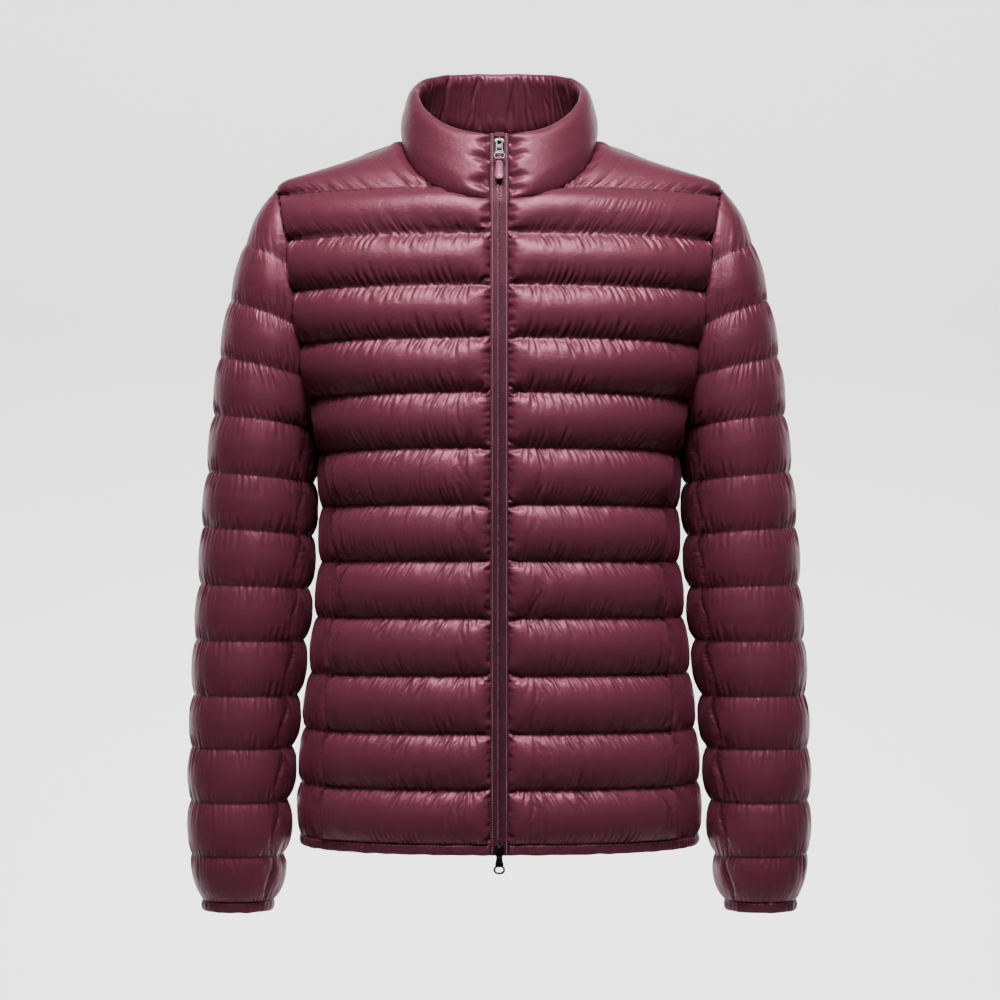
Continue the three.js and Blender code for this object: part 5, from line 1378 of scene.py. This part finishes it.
def make_top_pull():
    """The upper slider, its metal link and its covered tab, each on its own body."""
    rim, tilt = upper_place()
    c, q = math.cos(tilt), math.sin(tilt)
    hinge = rim + np.array((0, TOP_HINGE_DROP * q, -TOP_HINGE_DROP * c))
    slider = mesh_object("upper_slider", *placed(slider_part(), hinge, tilt), sharp=45)
    dress(slider, "gunmetal", "gunmetal", "top_slider")
    out = (0, -1, 0)
    end, window = -LINK["long"], -LINK["window_end"]
    rails = rod(oval_path(LINK["neck"] - 0.95, -window / 2 + 0.5, window / 2 - 0.5, HINGE_OUT, 5), out,
                0.85, 0.7, True)
    ring_half = (-LINK["ring_start"] - end) / 2
    ring = rod(oval_path(LINK["ring"] - 0.95, ring_half, (end - LINK["ring_start"]) / 2, HINGE_OUT, 2.6), out,
               0.95, 0.75, True)
    cross = plate(smooth_loop(both_sides([(3.5, window), (4.2, -LINK["ring_start"] - 0.9)])),
                  HINGE_OUT - 0.75, HINGE_OUT + 0.75, 0.45, 0.12)
    link = mesh_object("upper_link", *placed(joined(rails, ring, cross), hinge, tilt), sharp=60)
    dress(link, "gunmetal", "gunmetal", "top_pull_link", body="top_link")
    start = hinge + np.array((0, -HINGE_OUT * c - end * q, -HINGE_OUT * q + end * c))
    long, half, top, thick = TAB["long"], TAB["half"], TAB["top"], TAB["thick"]
    tongue = smooth_loop(both_sides([
        (top, -TAB["loop"] + 0.6), (top + 0.1, -6), (half - 0.1, -long + 6), (half, -long + 1.8),
        (half - 1.8, -long)]))
    turn = 2 * np.pi * np.arange(28) / 28
    loop = rod(points(0, 1.75 * np.sin(turn), 1.75 * np.cos(turn)), (1, 0, 0), 0.48, TAB["loop_half"], True)
    rivet_turn = 2 * np.pi * np.arange(24) / 24
    middle = -long + 3.4
    cover = joined(plate(tongue, -thick / 2, thick / 2, 0.4, 0.3), loop)
    tab = mesh_object("upper_tab", *placed(cover, start, tilt), sharp=50)
    dress(tab, "tab", "pull_tab", "top_pull_tab", body="top_tab")
    disc = np.stack([1.05 * np.cos(rivet_turn), middle + 1.05 * np.sin(rivet_turn)], -1)
    rivet_plate = plate(disc, -thick / 2 - 0.15, thick / 2 + 0.2, 0.3, -0.1)
    rivet = mesh_object("upper_rivet", *placed(rivet_plate, start, tilt),
                        sharp=50)
    dress(rivet, "gunmetal", "gunmetal", body="top_tab")


def make_bottom_pull():
    """The lower slider and its pull, black plated."""
    origin = points(0, -LEVELS["front"][-1], BOTTOM_HINGE_Z)
    slider = mesh_object("lower_slider", *placed(slider_part(), origin), sharp=45)
    dress(slider, "black", "black_metal", "bottom_slider")
    out = (0, -1, 0)
    end, window = -BOTTOM_PULL["long"], -BOTTOM_PULL["window_end"]
    rails = rod(oval_path(BOTTOM_PULL["neck"] - 0.8, -window / 2 + 0.5, window / 2 - 0.5, HINGE_OUT, 5), out,
                0.75, 0.65, True)
    neck = plate(smooth_loop(both_sides([(2.7, window + 1), (3.0, window - 3), (4.6, window - 7.2)])),
                 HINGE_OUT - 0.65, HINGE_OUT + 0.65, 0.4, 0.1)
    ring = rod(oval_path(BOTTOM_PULL["ring"] - 1.0, 3.1, end + 3.8, HINGE_OUT, 2.4), out, 1.0, 0.65, True)
    pull_piece = mesh_object("lower_pull", *placed(joined(rails, neck, ring), origin), sharp=60)
    dress(pull_piece, "black", "black_metal", "bottom_pull", body="bottom_link")


# Colours, gloss and light that a user would change


class JacketColours(bpy.types.PropertyGroup):
    """Colours and gloss of the cloth."""

    shell: bpy.props.FloatVectorProperty(
        name="Shell", description="Colour of the quilted nylon", subtype="COLOR_GAMMA", size=3, min=0, max=1,
        default=(0.305, 0.130, 0.180))
    trim: bpy.props.FloatVectorProperty(
        name="Trim", description="Colour of the zip tapes", subtype="COLOR_GAMMA", size=3, min=0, max=1,
        default=(0.14, 0.062, 0.09))
    gloss: bpy.props.FloatProperty(
        name="Roughness", description="Roughness of the quilted nylon", default=0.4, min=0.1, max=0.9,
        subtype="FACTOR")


class JacketStudio(bpy.types.PropertyGroup):
    """Light of the studio."""

    key_power: bpy.props.FloatProperty(
        name="Key light", description="Power of the soft light high in front", default=20.5, min=0,
        unit="POWER")
    fill_power: bpy.props.FloatProperty(
        name="Fill light", description="Power of the soft light from below", default=1.0, min=0, unit="POWER")


class JACKET_OT_fronts(bpy.types.Operator):
    """Sew the two fronts"""

    bl_idname = "jacket.fronts"
    bl_label = "Fronts"

    def execute(self, context):
        make_front(1, 100)
        make_front(-1, 200)
        return {"FINISHED"}


class JACKET_OT_back(bpy.types.Operator):
    """Sew the back"""

    bl_idname = "jacket.back"
    bl_label = "Back"

    def execute(self, context):
        make_back(300)
        return {"FINISHED"}


class JACKET_OT_sides(bpy.types.Operator):
    """Sew the two side panels"""

    bl_idname = "jacket.sides"
    bl_label = "Side panels"

    def execute(self, context):
        make_side(1, 400)
        make_side(-1, 500)
        return {"FINISHED"}


class JACKET_OT_sleeves(bpy.types.Operator):
    """Sew the two sleeves"""

    bl_idname = "jacket.sleeves"
    bl_label = "Sleeves"

    def execute(self, context):
        make_sleeve(1, 600)
        make_sleeve(-1, 700)
        return {"FINISHED"}


class JACKET_OT_collar(bpy.types.Operator):
    """Sew the collar"""

    bl_idname = "jacket.collar"
    bl_label = "Collar"

    def execute(self, context):
        make_collar(800)
        return {"FINISHED"}


class JACKET_OT_bindings(bpy.types.Operator):
    """Bind the hem and the cuffs"""

    bl_idname = "jacket.bindings"
    bl_label = "Bindings"

    def execute(self, context):
        make_hem(900)
        make_cuff(1, 910)
        make_cuff(-1, 920)
        return {"FINISHED"}


class JACKET_OT_zip(bpy.types.Operator):
    """Sew in the zip and put on its sliders and pulls"""

    bl_idname = "jacket.zip"
    bl_label = "Zip"

    def execute(self, context):
        make_tapes(930)
        make_top_pull()
        make_bottom_pull()
        return {"FINISHED"}


class JACKET_OT_studio(bpy.types.Operator):
    """Set up the backdrop, the lights and the camera"""

    bl_idname = "jacket.studio"
    bl_label = "Studio"

    def execute(self, context):
        make_backdrop()
        make_lights(context.scene.jacket_studio)
        make_camera()
        return {"FINISHED"}


CAMERA_DISTANCE = 2.4
EYE_HEIGHT = -0.4
FRAME_WIDTH = 0.92
SENSOR = 36.0


def make_camera():
    """Level camera in front, at the photograph's distance, shifted up to its frame."""
    data = bpy.data.cameras.new("camera")
    data.sensor_width = SENSOR
    data.sensor_fit = "HORIZONTAL"
    data.lens = SENSOR * CAMERA_DISTANCE / FRAME_WIDTH
    data.shift_y = 0.085
    data.shift_x = 0.0007
    camera = bpy.data.objects.new("camera", data)
    camera.location = (0, -CAMERA_DISTANCE, EYE_HEIGHT)
    camera.rotation_euler = (math.pi / 2, 0, 0)
    bpy.context.scene.collection.objects.link(camera)
    bpy.context.scene.camera = camera


def make_backdrop():
    """Pale floor that curves up into a wall: a profile of two lines and a quarter circle, swept sideways."""
    floor, wall, radius, half, height = -1.15, 2.2, 1.2, 5.0, 5.0
    bend = np.linspace(0, math.pi / 2, 24)
    y = np.concatenate([[-6.0], wall - radius + radius * np.sin(bend), [wall]])
    z = np.concatenate([[floor], floor + radius - radius * np.cos(bend), [height]])
    x = np.array([-half, half])
    grid = points(x[None], y[:, None], z[:, None]) / MM
    ids = np.arange(grid.shape[0] * 2).reshape(-1, 2)
    mesh = bpy.data.meshes.new("backdrop")
    mesh.from_pydata((grid.reshape(-1, 3) * MM).tolist(), [], np.stack(
        [ids[:-1, 0], ids[:-1, 1], ids[1:, 1], ids[1:, 0]], -1).tolist())
    mesh.polygons.foreach_set("use_smooth", np.ones(len(mesh.polygons), bool))
    backdrop = bpy.data.objects.new("backdrop", mesh)
    bpy.context.scene.collection.objects.link(backdrop)
    material, tree, shader = new_material("backdrop_paper")
    place = add_node(tree, "ShaderNodeTexCoord")
    grain = add_node(tree, "ShaderNodeTexNoise", {
        "Vector": place.outputs["Object"], "Scale": 60, "Detail": 4})
    tone = add_node(tree, "ShaderNodeMix", {
        "Factor": grain.outputs["Fac"], "A": (0.80, 0.80, 0.805, 1), "B": (0.82, 0.82, 0.825, 1)},
        data_type="RGBA")
    tree.links.new(tone.outputs["Result"], shader.inputs["Base Color"])
    shader.inputs["Roughness"].default_value = 0.9
    mesh.materials.append(material)


def add_light(name, power, size, place, aim, spread=180):
    """A rectangular soft light aimed at a point, with a grid that limits its spread."""
    data = bpy.data.lights.new(name, "AREA")
    data.energy = power
    data.shape = "RECTANGLE"
    data.size, data.size_y = size
    data.spread = math.radians(spread)
    light = bpy.data.objects.new(name, data)
    light.location = place
    light.rotation_euler = (Vector(aim) - Vector(place)).to_track_quat("-Z", "Y").to_euler()
    bpy.context.scene.collection.objects.link(light)


def make_lights(studio):
    """A soft light high in front, gridded so that it falls off from the chest, a weak one from below,
    a light for the wall alone and a dim surround."""
    add_light("key", studio.key_power, (1.6, 0.7), (0, -1.1, 1.65), (0, -0.05, -0.27), 48)
    add_light("fill", studio.fill_power, (2.4, 1.0), (0, -2.6, -0.9), (0, 0, -0.3))
    add_light("wall", 150, (4.5, 0.9), (0, 0.8, 2.9), (0, 2.2, -0.6), 66)
    world = bpy.data.worlds.new("studio_air")
    world.use_nodes = True
    world.node_tree.nodes["Background"].inputs["Color"].default_value = (0.9, 0.9, 0.92, 1)
    world.node_tree.nodes["Background"].inputs["Strength"].default_value = 0.075
    bpy.context.scene.world = world


class JACKET_PT_panel(bpy.types.Panel):
    """Lists the jacket's pieces and settings"""

    bl_label = "Puffer Jacket"
    bl_idname = "JACKET_PT_panel"
    bl_space_type = "VIEW_3D"
    bl_region_type = "UI"
    bl_category = "Jacket"

    def draw(self, context):
        for group in (context.scene.jacket_colours, context.scene.jacket_studio):
            for key in group.__annotations__:
                self.layout.prop(group, key)
        for operator in OPERATORS:
            self.layout.operator(operator.bl_idname)


GROUPS = (JacketColours, JacketStudio)
OPERATORS = (
    JACKET_OT_fronts, JACKET_OT_back, JACKET_OT_sides, JACKET_OT_sleeves, JACKET_OT_collar,
    JACKET_OT_bindings, JACKET_OT_zip, JACKET_OT_studio)


def register():
    """Registers the properties, operators and panel."""
    for kind in (*GROUPS, *OPERATORS, JACKET_PT_panel):
        bpy.utils.register_class(kind)
    bpy.types.Scene.jacket_colours = bpy.props.PointerProperty(type=JacketColours)
    bpy.types.Scene.jacket_studio = bpy.props.PointerProperty(type=JacketStudio)


def unregister():
    """Takes them out again."""
    del bpy.types.Scene.jacket_studio
    del bpy.types.Scene.jacket_colours
    for kind in reversed((*GROUPS, *OPERATORS, JACKET_PT_panel)):
        bpy.utils.unregister_class(kind)


def main():
    """Registers the classes and makes every piece in order."""
    register()
    bpy.ops.jacket.fronts()
    bpy.ops.jacket.back()
    bpy.ops.jacket.sides()
    bpy.ops.jacket.sleeves()
    bpy.ops.jacket.collar()
    bpy.ops.jacket.bindings()
    bpy.ops.jacket.zip()
    bpy.ops.jacket.studio()
    bpy.context.view_layer.update()


if __name__ == "__main__":
    main()
